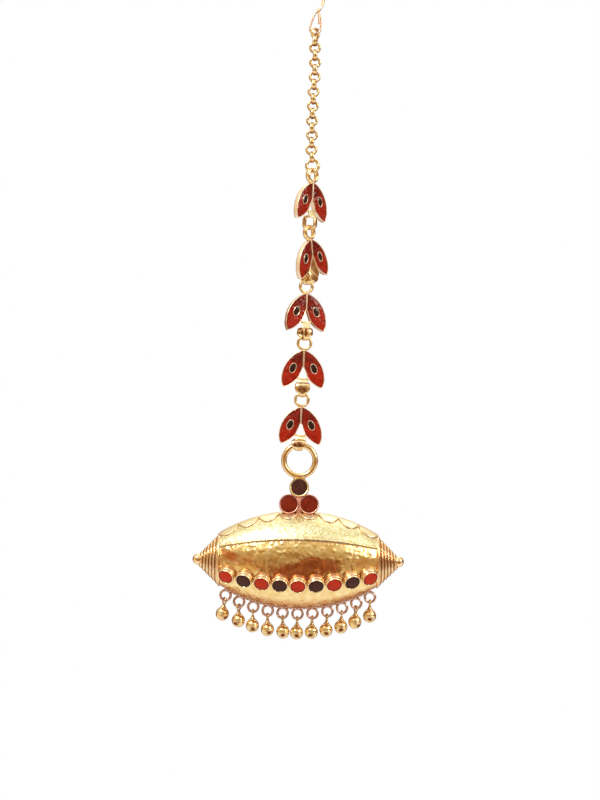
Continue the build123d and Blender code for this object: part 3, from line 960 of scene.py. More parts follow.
@dataclass
class LeafLink:
    """Two enamelled leaves under a ring, with a bridge and a strip bail at their foot."""

    number: int
    turn: float
    nod: float
    lean: float
    kink: float = 0.0
    last: bool = False
    front: float = 0.6
    rim: float = 0.17
    eye_at: Pair = (2.32, -5.55)
    eye_size: Pair = (0.75, 1.17)
    eye_wall: float = 0.15
    eye_tilt: float = 20.0
    ring_radius: float = 1.42
    ring_wire: float = 0.31
    ring_wide: float = 0.42
    bail_most: float = 2.0
    bail_twist: float = 0.0
    bail_stretch: float = 1.0
    neck_half: float = 1.1
    # Dark patches painted on the bail's front as reflections: left, right, low, high and darkness.
    bail_painted_reflections: tuple[tuple[float, float, float, float, float], ...] = ()
    bail_y: float = -10.3
    bail_inner: float = 1.27
    bail_wall: float = 0.28
    last_inner: float = 0.92
    last_wall: float = 0.25
    knee_y: float = -7.9
    rays: int = 176
    edge: tuple[Pair, ...] = (
        (0, -1.45), (2.95, -3.3), (4.7, -7.3), (4.66, -8.75), (4.25, -9.85), (2.4, -8.95),
        (1.0, -7.55), (0.45, -6.2), (0, -5.1), (0.001, -3.1),
    )
    outline: Array = field(init=False)
    angles: Array = field(init=False)

    def __post_init__(self) -> None:
        """Work out the right leaf's outline and the rays from its eye."""
        turns = (*self.edge[2::2], self.edge[0])
        pieces = [arc_points(*arc) for arc in zip(self.edge[::2], self.edge[1::2], turns)]
        self.outline = rounded_off(np.concatenate(pieces), 2)
        steps = np.linspace(0, len(self.outline), self.rays, endpoint=False).astype(int)
        away = self.outline[steps] - np.array(self.eye_at)
        self.angles = np.unwrap(np.arctan2(away[:, 1], away[:, 0]))

    def leaf_loop(self, inset: float) -> Array:
        """The leaf's outline moved inward."""
        return inset_loop(self.outline, np.array(self.eye_at), self.angles, inset)

    def eye_loop(self, inset: float) -> Array:
        """The oval of the eye moved inward: r = a b / sqrt((b cos)^2 + (a sin)^2) on each ray."""
        a, b = self.eye_size[0] - inset, self.eye_size[1] - inset
        angle = self.angles - math.radians(self.eye_tilt)
        radius = a * b / np.hypot(b * np.cos(angle), a * np.sin(angle))
        return np.array(self.eye_at) + radius[:, None] * rays(self.angles)

    def leaf_casting(self) -> Skin:
        """The right leaf's tray: wall and floor, as loops at (inset, height)."""
        f = self.front
        steps = (
            (0.9, -f), (0.30, -f), (0.12, -f + 0.02), (0.03, -f + 0.07), (0.0, -f + 0.16),
            (0.0, -0.2), (0.0, 0.2), (0.0, f - 0.16), (0.01, f - 0.11), (self.rim / 2, f - 0.10),
            (self.rim - 0.01, f - 0.11), (self.rim + 0.02, f - 0.2), (self.rim + 0.03, 0.1),
        )
        # painted shade: a little on the back, most down the inner wall beside the enamel
        tone = np.array([0.3, 0.3, 0.3, 0.2, 0.15, 0.1, 0.05, 0, 0.1, 0.1, 0.3, 0.9, 1.0])
        rings = stacked(self.leaf_loop, steps)
        rings[..., 2] += 0.02 * ripple(rings[..., :2], 1.7, 20 + self.number)
        tips = (np.array([*self.eye_at, -f]), np.array([*self.eye_at, 0.1]))
        return loft(rings, tips=tips, tone=tone)

    def rim_bead(self) -> Skin:
        """The rounded rim along the right leaf's edge."""
        f, w = self.front, self.rim
        steps = ((0.0, f - 0.14), (0.004, f - 0.08), (0.03, f - 0.02), (w / 2, f + 0.01),
                 (w - 0.03, f - 0.02), (w - 0.004, f - 0.08), (w, f - 0.14))
        rings = stacked(self.leaf_loop, steps)
        rings[..., 2] += 0.02 * ripple(rings[..., :2], 1.7, 20 + self.number)
        return loft(rings, looped=True, tone=0.12 * (1 + ripple(rings, 1.1, 50 + self.number)))

    def eye_ring(self) -> Skin:
        """The oval gold wall round the right leaf's eye."""
        wall = self.eye_wall
        steps = ((0.0, 0.1), (0.0, 0.58), (0.03, 0.65), (wall / 2, 0.68), (wall - 0.03, 0.65),
                 (wall, 0.58), (wall, 0.1))
        return loft(stacked(self.eye_loop, steps), looped=True)

    def red_enamel(self, seed: int) -> Skin:
        """The domed enamel of the right leaf, between its rim and its eye.

        Between the two loops a point is (1 - t) * rim loop + t * eye loop, and its height rises as
        1 - (1 - t)^2.4 from the rim, with seeded waves.
        """
        outer, inner = self.leaf_loop(self.rim + 0.005), self.eye_loop(-0.005)
        t = np.linspace(0, 1, 15)[:, None, None] ** 1.3
        flat = (1 - t) * outer + t * inner
        rise = 1 - (1 - t[..., 0]) ** 2.4
        waves = 0.05 * ripple(flat, 1.5, seed) + 0.02 * ripple(flat, 0.6, seed + 1)
        height = 0.46 + 0.13 * rise + waves * np.minimum(1, 4 * t[..., 0])
        top = flat_to_space(flat, height)
        under = flat_to_space(flat[[-1, 0]], 0.12)
        # darker towards the leaf's top, and painted shade beside the rim
        depth = smooth_step(flat[..., 1] - 0.45 * flat[..., 0], -8.2, -3.6)
        tone = 0.06 + 0.62 * depth + 0.3 * (1 - np.minimum(1, 5 * t[..., 0]))
        tone = np.concatenate([tone, np.ones((2, self.rays))])
        return loft(np.concatenate([top, under]), looped=True, tone=tone)

    def eye_enamel(self) -> Skin:
        """The dark enamel of the right leaf's eye, a low dome."""
        side = self.eye_wall + 0.005
        steps = ((side, 0.15), (side, 0.57), (0.28, 0.61), (0.45, 0.64), (0.60, 0.655))
        tips = (np.array([*self.eye_at, 0.15]), np.array([*self.eye_at, 0.66]))
        return loft(stacked(self.eye_loop, steps), tips=tips)

    def bail(self) -> Skin:
        """The strip curled about a left-right axis, its half width a function of height.

        The loop's outline is the superellipse |y/r|^p + |z/r|^p = 1, a little flat in front, its
        upper half stretched.
        """
        if self.last:
            inner, wall, shift, power = self.last_inner, self.last_wall, -0.25, 2.6
            stretch = 1.0
            heights = (-1.3, -0.7, -0.45, -0.2, 0.5, 0.9, 1.1, 1.4)
            widths = (0.90, 0.95, 1.40, 1.62, 1.66, 1.60, 1.25, 1.00)
        else:
            inner, wall, shift, power = self.bail_inner, self.bail_wall, 0.0, 3.0
            stretch = self.bail_stretch
            heights = np.array((-1.8, -1.3, -1.0, -0.7, -0.4, 0.0, 0.3, 0.8, 1.2, 1.4, 1.6))
            heights = np.where(heights > 0, heights * stretch, heights)
            widths = (0.80, 0.72, 0.72, 0.90, 1.30, 1.54, 1.64, 1.66, 1.60, 1.45, 1.20)
        middle = inner + wall / 2
        round_trip = evenly_spaced(rounded_section(middle, middle, power, 720), 112)
        path = np.stack([0 * round_trip[:, 0], round_trip[:, 0], round_trip[:, 1]], axis=1)
        path[:, 1] *= np.where(path[:, 1] > 0, stretch, 1.0)
        half = np.minimum(np.interp(path[:, 1], heights, widths), self.bail_most)
        if self.last:
            half = np.minimum(half, np.interp(path[:, 2], (-0.5, 0.1), (1.0, 2.0)))
            path[:, 2] *= np.where(path[:, 2] > 0, 1.34, 1.0)
        unit = evenly_spaced(rounded_section(1.0, 0.15, 5.0, 720), 72) / (1.0, 0.15)
        section = widened(unit, half, wall / 2)
        crown = 0.20 * (1 - (section[..., 0] / half[:, None]) ** 2)
        section[..., 1] += crown - (0.02 if self.last else 0.12)
        rings = carried(path, section, path / middle, looped=True)
        x, y, front = rings[..., 0].copy(), rings[..., 1], rings[..., 2] > 0
        uneven = 0.85 + 0.35 * ripple(rings, 0.7, 40 + self.number)
        # painted shade along both edges of the strip, and painted reflections as dark patches on
        # its front
        tone = 0.30 * smooth_step(np.abs(x) / half[:, None], 0.84, 0.98)
        for left, right, low, high, depth in self.bail_painted_reflections:
            reflection_patch = slab(x, left, right, 0.10) * slab(y, low, high, 0.14) * front
            tone = np.maximum(tone, depth * reflection_patch * uneven)
        rings[..., 0] += shift
        return loft(rings, looped=True, tone=np.clip(tone, 0, 1)).moved(
            turn_about(1, self.bail_twist), (0, self.foot_y(), 0))

    def foot_y(self) -> float:
        """Height of the bail's centre in the drawn frame."""
        if not self.last:
            return self.bail_y
        low, _ = box_mm(f"leaf_link_{self.number}")
        return (low[2] + self.last_inner + self.last_wall) - self.origin()[2]

    def bridge(self) -> Skin:
        """The crescent bar from leaf to leaf and the strip that leads forward over the bail."""
        path = smooth_path([(-1.45, -7.62, 0.1), (-0.9, -7.84, 0.2), (0, -7.92, 0.24),
                            (0.9, -7.84, 0.2), (1.45, -7.62, 0.1)], 8)
        swell = 0.75 + 0.25 * np.sin(np.linspace(0, np.pi, len(path)))
        section = rounded_section(0.24, 0.28, 2.2, 20) * swell[:, None, None]
        bar = loft(carried(path, section, FACE_ON))
        foot = self.foot_y() + (self.last_inner if self.last else self.bail_inner)
        height = np.linspace(self.knee_y, foot - 0.1, 10)
        half = np.linspace(self.neck_half, 1.1 * self.neck_half, 10)
        forward = np.linspace(0.05, 0.60 if self.last else 0.80, 10)
        unit = rounded_section(1, 1, 3.2, 28)
        return bar + loft(slices(unit, height, half, 0.30, forward=forward), tone=0.05)

    def bent_strip(self) -> Skin:
        """The strip of a kinked bail, pulled flat between the leaves: a crowned plate."""
        height = np.linspace(-4.9, -10.4, 34)
        half = np.interp(height, (-10.5, -10.1, -9.4, -8.0, -6.2, -5.4, -5.0),
                         (0.75, 1.25, 1.75, 1.60, 0.75, 0.4, 0.2))
        shift = np.interp(height, (-10.5, -8.0, -5.0), (0.15, 0.1, 0.0))
        unit = rounded_section(1.0, 1.0, 3.2, 36)
        rings = slices(unit, height, half, 0.42, shift, 0.08)
        rings[..., 2] += 0.05 * ripple(rings, 1.6, 77)
        tone = 0.8 * bump_at(rings[..., 0], rings[..., 1], (1.25, -6.9), (0.30, 1.3), 28)
        return loft(rings, tone=tone)

    def spine(self) -> Skin:
        """The bar down the middle, from the ring to the notch, a little proud of the rims."""
        path = np.stack([np.zeros(22), np.linspace(-1.35, -5.35, 22), np.full(22, 0.33)], axis=1)
        half = np.linspace(0.28, 0.17, 22)
        unit = rounded_section(1.0, 1.0, 2.6, 20)
        return loft(carried(path, widened(unit, half, 0.31), FACE_ON), tone=0.12)

    def origin(self) -> Array:
        """The ring's centre, from the middle of the two eyes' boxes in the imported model."""
        names = (f"leaf_eye_{self.number}_left", f"leaf_eye_{self.number}_right")
        middle = np.mean([box_mm(name) for name in names], axis=(0, 1))
        return middle - self.placing() @ np.array([0, self.eye_at[1], 0.375])

    def placing(self) -> Array:
        """The turn that hangs this link."""
        return hanging_turn(self.turn, self.nod, self.lean)

    def make(self, name: str, skin: Skin, finish: GoldFinish | EnamelFinish, node: str) -> None:
        """Make one piece of this link where the link hangs."""
        make_piece(name, skin.moved(self.placing(), self.origin()), finish, Body.HANGER, (node,))

    def build(self) -> None:
        """Make the casting and its four enamels."""
        number, node = self.number, f"leaf_link_{self.number}"
        ring = band_ring(self.ring_radius, self.ring_wire, self.ring_wide, power=2.4, count=56)
        ring = ring.shaded(0.28 * smooth_step(ripple(ring.points, 1.5, 30 + number), 0.1, 0.8))
        bail = self.bail()
        if self.kink:
            knee = np.array([0, self.knee_y, 0])
            bend = turn_about(2, -self.kink)
            bail = bail.moved(bend, knee - bend @ knee) + self.bent_strip()
        self.make(f"leaf_cast_{number}", ring + bail, GOLD_CAST, node)
        if not self.kink:
            self.make(f"leaf_neck_{number}", self.bridge(), GOLD_BORDER, node)
        leaf = self.leaf_casting() + self.rim_bead() + self.eye_ring()
        self.make(f"leaf_rims_{number}", leaf + leaf.mirrored() + self.spine(), GOLD_RIM_PAINTED_HIGHLIGHT, node)
        for side, left in (("right", False), ("left", True)):
            red, eye = self.red_enamel(100 + 2 * number + left), self.eye_enamel()
            if left:
                red, eye = red.mirrored(), eye.mirrored()
            self.make(f"leaf_red_{number}_{side}", red, LEAF_RED, f"leaf_enamel_{number}_{side}")
            self.make(f"leaf_dark_{number}_{side}", eye, LEAF_EYE, f"leaf_eye_{number}_{side}")


# ------------------------------------------------------------------ pendant
@dataclass
class PendantFrame:
    """Where the pendant hangs and the curve of its body."""

    ring_radius: float = 3.44
    ring_wire: float = 0.625
    axis_y: float = -22.0
    half_length: float = 17.45
    mid_radius: float = 10.4
    end_radius: float = 5.43
    depth: float = 0.8
    back: float = -0.8
    wall: float = 1.0
    placing: Array = field(default_factory=hanging_turn)

    def origin(self) -> Array:
        """The big ring's centre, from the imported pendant's box."""
        low, high = box_mm("pendant")
        return np.array([(low[0] + high[0]) / 2, 0.0, high[2] - self.ring_radius - self.ring_wire])

    def arc(self) -> float:
        """Radius of the outline, one arc through the middle and both ends."""
        return arc_radius(self.half_length, self.mid_radius - self.end_radius)

    def radius(self, x: Array) -> Array:
        """The body's radius at x."""
        return arched(x, self.mid_radius, self.arc())

    def on_body(self, x: Array, angle: Array, radius: Array) -> Array:
        """Points of the flattened body: y = axis + r sin, z = 0.8 r cos.

        Args:
            x: Place along the body.
            angle: Angle above the horizontal, round the section.
            radius: Distance from the axis before the body is flattened.

        Returns:
            Points as (..., 3).
        """
        return np.stack([x, self.axis_y + radius * np.sin(angle),
                         self.depth * radius * np.cos(angle)], axis=-1)

    def back_angle(self, radius: Array) -> Array:
        """Angle at which a radius meets the back plane: 90 degrees and a little more."""
        return np.pi / 2 + np.arcsin(np.clip(-self.back / (self.depth * radius), -1, 1))

    def make(self, name: str, skin: Skin, finish: GoldFinish | EnamelFinish,
             nodes: tuple[str, ...] = ("pendant",), crease: float = 48.0) -> None:
        """Make one piece where the pendant hangs."""
        make_piece(name, skin.moved(self.placing, self.origin()), finish, Body.PENDANT, nodes,
                   crease)

    def ring_centres(self, gap: float, pitch: float, count: int) -> Array:
        """Points evenly spaced below the outline, a gap outside it, as (count, 2)."""
        angle = np.radians((np.arange(count) - (count - 1) / 2) * pitch)
        reach = self.arc() + gap
        centre = self.axis_y - self.mid_radius + self.arc()
        return np.stack([reach * np.sin(angle), centre - reach * np.cos(angle)], axis=1)


@dataclass
class SpindleBody:
    """The hollow body: a lower plate, an upper plate and a scalloped border, open at the back."""

    base: PendantFrame
    plate_rise: float = 0.28
    plate_mid_y: float = 5.05
    plate_end_y: float = 2.96
    border_rise: float = 0.5
    scallops: int = 8
    cusp_drop: float = 0.3
    scallop_drop: float = 1.4
    sunk: float = 0.35

    def mid_line(self, x: Array) -> Array:
        """Height of the upper plate's lower edge above the axis, one arc from end to end."""
        arc = arc_radius(self.base.half_length, self.plate_mid_y - self.plate_end_y)
        return arched(x, self.plate_mid_y, arc)

    def border_line(self, x: Array) -> Array:
        """Height of the border's scalloped edge above the axis.

        In each scallop it is a parabola from a cusp just under the outline down to the scallop's
        own drop and back.
        """
        width = 2 * self.base.half_length / self.scallops
        t = np.mod(x + self.base.half_length, width) / width
        drop = self.cusp_drop + (self.scallop_drop - self.cusp_drop) * 4 * t * (1 - t)
        return self.base.radius(x) + self.border_rise - drop

    def relief(self, x: Array, angle: Array) -> Array:
        """Dents and wrinkles of the lower plate, as a change of radius."""
        y = self.base.radius(x) * np.sin(angle)
        flat = np.stack([x, y], axis=-1)
        dents = (
            ((-13.9, 0.7), (2.5, 0.9), 6, -0.20), ((-15.6, 1.9), (2.0, 0.5), -20, -0.10),
            ((-8.3, -1.6), (1.1, 0.45), 35, 0.13), ((-1.2, 1.5), (3.0, 0.8), 0, -0.12),
            ((9.3, -1.4), (1.3, 0.5), 10, 0.12), ((2.4, -0.4), (5.5, 1.5), 0, -0.14),
            ((-11.2, -1.9), (2.0, 0.7), 12, 0.10), ((13.4, 0.4), (2.2, 0.8), -10, -0.10),
        )
        lively = spotted(x, y, (
            ((-1.2, 1.3), (3.6, 1.3), 0, 1), ((9, -1.4), (2, 0.8), 0, 1),
            ((-8.3, -1.5), (1.6, 0.8), 0, 1), ((-4, -3.0), (2.5, 0.8), 0, 1),
        ))
        broad, fine = 0.035 * ripple(flat, 3.4, 61), 0.060 * ripple(flat, 0.55, 62)
        return spotted(x, y, dents) + broad + lively * fine

    def painted_light_and_mottle(self, x: Array, angle: Array) -> Array:
        """Tone of the lower plate: painted reflections in brown and copper, a painted shadow under
        the middle line, painted shade along the belly and a faint mottle.
        """
        y = self.base.radius(x) * np.sin(angle)
        # brown painted reflections over the dents
        spots = (
            ((-14.6, 1.3), (2.0, 1.0), -6, 1.2), ((-15.8, 2.0), (1.5, 0.4), -18, 0.6),
            ((-10.9, 0.4), (2.4, 0.8), 4, 0.60), ((-8.0, -0.9), (1.4, 0.5), -20, 0.6),
            ((4.2, 0.2), (2.8, 1.2), 20, 0.35), ((-9.6, -2.9), (2.5, 0.9), 0, 0.15),
            ((9.4, -2.0), (1.7, 0.45), 8, 0.35), ((13.5, 0.3), (2.2, 0.8), -12, 0.30),
        )
        flat = np.stack([x, y], axis=-1)
        edge = 0.30 * ripple(flat, 2.2, 66) + 0.25 * ripple(flat, 0.7, 67)
        # the copper patch is a painted reflection
        low_half = 1 - ((x + 0.6) / 6.4) ** 2 - ((y + 2.2) / 2.3) ** 2
        high_half = 1 - ((x - 4.0) / 5.4) ** 2 - ((y + 0.2) / 1.9) ** 2
        painted_copper_reflection = smooth_step(np.maximum(low_half, high_half) + edge, 0.05, 0.25)
        tone = np.maximum(spotted(x, y, spots) * (1 + 0.7 * ripple(flat, 1.2, 63)), 0.9 * painted_copper_reflection)
        tone = tone + 0.06 * (1 + ripple(flat, 2.4, 64))
        # painted shadow just under the upper plate's edge
        line = np.exp(-(((y - self.mid_line(x) + 0.06) / 0.16) ** 2))
        tone = np.maximum(tone, 0.50 * line)
        # painted shade along the belly, darker towards the bottom
        under = smooth_step(-y / self.base.radius(x), 0.72, 0.90)
        under = under + 0.6 * smooth_step(-y / self.base.radius(x), 0.955, 0.975)
        return np.clip(tone + 0.56 * under, 0, 1)

    def lower_plate(self) -> Skin:
        """The whole C-section shell, its outer radius changed by the relief."""
        x = np.linspace(-1, 1, 261)[:, None] * self.base.half_length
        side = np.linspace(-1, 1, 149)[None, :]
        radius = self.base.radius(x)
        angle = side * self.base.back_angle(radius)
        x = np.broadcast_to(x, angle.shape)
        fade = 1 - side**8
        outer = self.base.on_body(x, angle, radius + self.relief(x, angle) * fade)
        inner_radius = radius - self.base.wall
        inner = self.base.on_body(x, side * self.base.back_angle(inner_radius),
                                  np.broadcast_to(inner_radius, angle.shape))
        return shell_between(outer, inner, self.painted_light_and_mottle(x, angle), 0.45)

    def raised(self, edge: Array, rise: float, ease: float, lip: float, rows: int, seed: int,
               wobble: float, seam: Array | None = None) -> Skin:
        """A plate over the body from a lower edge to the back, its edge a quarter round.

        At a distance s from its edge the plate stands rise * sqrt(1 - (1 - s / ease)^2) proud, and
        a bead of height lip runs along the edge.

        Args:
            edge: Heights of the lower edge above the axis, one for each x.
            rise: Height of the plate over the body.
            ease: Width of its rounded edge.
            lip: Height of the bead along the edge.
            rows: Points from edge to back.
            seed: Seed of its unevenness.
            wobble: Depth of its unevenness.
            seam: Heights at which another plate lies on it, where a painted shadow line runs under
                that plate's edge.

        Returns:
            The plate.
        """
        x = np.linspace(-1, 1, len(edge)) * self.base.half_length
        radius = self.base.radius(x)
        start = np.arcsin(np.clip(edge / (radius + rise), -1, 1))
        stop = self.base.back_angle(radius + rise)
        spread = np.concatenate([np.linspace(0, 0.09, 15)[:-1], np.linspace(0.09, 1, rows)])
        angle = start[:, None] + (stop - start)[:, None] * spread
        away = radius[:, None] * (angle - start[:, None])
        proud = rise * np.sqrt(1 - (1 - np.clip(away / ease, 0, 1)) ** 2)
        proud = proud + lip * np.exp(-(((away - ease) / (0.5 * ease)) ** 2))
        grid_x = np.broadcast_to(x[:, None], angle.shape)
        flat = np.stack([grid_x, radius[:, None] * angle], axis=-1)
        proud = proud + wobble * ripple(flat, 2.6, seed) * np.clip(away / ease, 0, 1)
        outer = self.base.on_body(grid_x, angle, radius[:, None] + proud)
        inner = self.base.on_body(grid_x, angle,
                                  np.broadcast_to(radius[:, None] - self.sunk, angle.shape))
        # painted shade along the plate's edge and in the groove behind its bead, over a faint
        # mottle
        tone = 0.6 * np.exp(-((away / (0.55 * ease)) ** 4))
        tone = tone + 0.05 * (1 + ripple(flat, 1.5, seed + 1))
        tone = tone + 0.30 * np.exp(-(((away - 2.1 * ease) / (0.35 * ease)) ** 2))
        if seam is not None:
            # painted shadow under the edge of the plate that lies on this one
            y = radius[:, None] * np.sin(angle)
            tone = tone + 0.8 * np.exp(-(((y - seam[:, None] + 0.05) / 0.17) ** 2))
        return shell_between(outer, inner, np.clip(tone, 0, 1), 0.5)

    def build(self) -> None:
        """Make the three plates."""
        x = np.linspace(-1, 1, 241) * self.base.half_length
        self.base.make("body_lower_plate", self.lower_plate(), GOLD_LOWER, crease=60)
        upper = self.raised(self.mid_line(x), self.plate_rise, ease=0.40, lip=0.10, rows=90,
                            seed=71, wobble=0.02, seam=self.border_line(x))
        self.base.make("body_upper_plate", upper, GOLD_PLATE, ())
        border = self.raised(self.border_line(x), self.border_rise, ease=0.36, lip=0.08, rows=26,
                             seed=73, wobble=0.015)
        self.base.make("body_border", border, GOLD_BORDER, ())


@dataclass
class RibbedCone:
    """A stack of rounded ribs at each end of the body, with a ball at its tip."""

    base: PendantFrame
    ribs: int = 6
    pitch: float = 0.70
    flare: float = 0.4
    first: float = 5.3
    last: float = 1.75
    groove: float = 0.28
    tip_at: float = 22.05
    tip_radius: float = 1.2
    neck_radius: float = 0.97
    hollow: tuple[Pair, ...] = ((17.45, 4.43), (17.85, 3.57), (20.5, 0.79), (20.6, 0.03))
    beads: tuple[tuple[float, float, float], ...] = ((0.05, 5.62, 0.24), (0.55, 5.66, 0.14))

    def ribbed(self) -> Skin:
        """Ribs as a C-section shell: the radius rises as |sin|^0.62 from groove to groove."""
        length = self.ribs * self.pitch
        s = np.linspace(0, length, self.ribs * 14 + 1)
        slope = (self.first - self.last) / ((self.ribs - 1) * self.pitch)
        peak = self.first - slope * (s - self.pitch / 2)
        phase = np.abs(np.sin(np.pi * s / self.pitch)) ** 0.62
        radius = peak - (self.groove + 0.08) * (1 - phase)
        out = np.linspace(0, 1, 12)[1:]
        end = self.base.half_length + length
        reach = np.concatenate([self.base.half_length + s, end + out * (self.tip_at - end)])
        radius = np.concatenate([radius, radius[-1] + (self.neck_radius - radius[-1]) * out])
        # painted shade in the grooves and towards the tip
        dark = np.concatenate([0.6 * (1 - phase) ** 1.2, 0.3 + 0.3 * out])
        side = np.linspace(-1, 1, 91)[None, :]
        angle = side * self.base.back_angle(radius[:, None])
        low = np.clip(-np.sin(angle), 0, 1) ** 1.6 * np.linspace(0.4, 1, len(reach))[:, None]
        along = reach[:, None] + self.flare * low * (reach[:, None] <= end)
        uneven = 0.02 * ripple(np.stack([reach[:, None] + 0 * angle, 5 * angle], -1), 2, 81)
        outer = self.base.on_body(along, angle, radius[:, None] + uneven)
        hollow = np.interp(reach, *np.transpose(self.hollow))
        inner_angle = side * self.base.back_angle(hollow[:, None])
        inner = self.base.on_body(np.broadcast_to(reach[:, None], angle.shape), inner_angle,
                                  np.broadcast_to(hollow[:, None], angle.shape))
        # painted reflection: darker across the middle of the front
        middle = np.exp(-((angle + 0.05) / 0.55) ** 2)
        tone = dark[:, None] * (0.6 + 0.5 * middle) + 0.22 * middle
        return shell_between(outer, inner, np.clip(tone, 0, 1), 0.5)

    def end_bead(self, inset: float, radius: float, wire_radius: float) -> Skin:
        """A bead round the section from back to back, an inset in from the body's end."""
        x = self.base.half_length - inset
        angle = np.linspace(-1, 1, 90) * self.base.back_angle(np.array(radius))
        path = self.base.on_body(np.full(90, x), angle, np.full(90, radius))
        return loft(carried(path, rounded_section(wire_radius, wire_radius, 2, 14), (1, 0, 0)))

    def tip(self) -> Skin:
        """The ball at the cone's tip, with painted shade on the side that meets the cone."""
        angle = np.radians(np.linspace(-90, 90, 33))
        profile = self.tip_radius * rays(angle)
        # painted shade towards the cone
        tone = 0.8 * smooth_step(-profile[1:-1, 1], 0.2, 1.0)
        place = (self.tip_at, self.base.axis_y, 0)
        return turned(profile, 40, tone).moved(turn_about(1, 90), place)

    def build(self) -> None:
        """Make both ends."""
        right = joined([self.ribbed(), self.tip(), *(self.end_bead(*b) for b in self.beads)])
        self.base.make("cone_right", right, GOLD_WIRE)
        self.base.make("cone_left", right.mirrored(), GOLD_WIRE)


@dataclass
class CellRow:
    """Nine stepped collars along the body, each with a disc of enamel."""

    base: PendantFrame
    count: int = 9
    pitch: float = 3.8
    below: float = 24.0
    droop: float = 1.8
    face: float = 1.0
    steps: tuple[Pair, ...] = (
        (0.0, -0.6), (1.95, -0.6), (1.97, 0.30), (1.97, 0.60), (1.93, 0.70), (1.86, 0.75),
        (1.83, 0.74), (1.80, 0.80), (1.80, 1.14), (1.78, 1.24), (1.73, 1.30), (1.66, 1.29),
        (1.61, 1.22), (1.60, 1.12), (1.60, 0.80), (0.0, 0.80),
    )
    # painted shade low on the outer wall, in the step and down the inner wall to the disc
    tones: tuple[float, ...] = (
        0.6, 0.45, 0.15, 0.0, 0.0, 0.35, 0.5, 0.2, 0.0, 0.0, 0.0, 0.1, 0.5, 0.9,
    )
    disc: tuple[Pair, ...] = (
        (0.0, 0.82), (1.59, 0.82), (1.59, 1.08), (1.54, 1.13), (1.42, 1.17), (1.2, 1.21),
        (0.9, 1.24), (0.5, 1.26), (0.0, 1.27),
    )
    # painted shade on the disc's edge beside the collar
    disc_tones: tuple[float, ...] = (1.0, 1.0, 0.9, 0.35, 0.1, 0.05, 0.05)

    def turns(self) -> list[tuple[Array, Array]]:
        """Each collar's matrix and middle.

        Its z looks down more steeply than the body does there, by the droop, and it is tipped
        about a point of its axis at the face's height over the body.
        """
        angle = math.radians(self.below)
        places = []
        for x in (np.arange(self.count) - (self.count - 1) / 2) * self.pitch:
            radius = float(self.base.radius(x))
            slope = -x / math.sqrt(self.base.arc() ** 2 - x**2)
            square = np.array([-slope, -math.sin(angle), math.cos(angle) / self.base.depth])
            square /= np.linalg.norm(square)
            out = square * [1, self.droop, 1]
            out /= np.linalg.norm(out)
            right = np.array([out[2], 0.0, -out[0]]) / math.hypot(out[0], out[2])
            middle = np.array([x, self.base.axis_y - radius * math.sin(angle),
                               self.base.depth * radius * math.cos(angle)])
            middle += self.face * (square - out)
            places.append((np.stack([right, np.cross(out, right), out], axis=1), middle))
        return places

    def build(self) -> None:
        """Make the collars as one piece and the nine discs, red and dark by turns."""
        collars = []
        for number, (turn, middle) in enumerate(self.turns(), start=1):
            collar = turned(np.array(self.steps), 56, np.array(self.tones))
            collar.points[:, :2] *= 1 + 0.008 * ripple(collar.points, 3.0, 90 + number)[:, None]
            collars.append(collar.moved(turn, middle))
            disc = turned(np.array(self.disc), 48, np.array(self.disc_tones))
            disc.points[:, 2] += 0.02 * ripple(disc.points[:, :2], 1.4, 190 + number)
            self.base.make(f"cell_disc_{number}", disc.moved(turn, middle),
                           CELL_RED if number % 2 else CELL_DARK, (f"body_enamel_{number}",))
        self.base.make("cell_collars", joined(collars), GOLD_COLLAR)


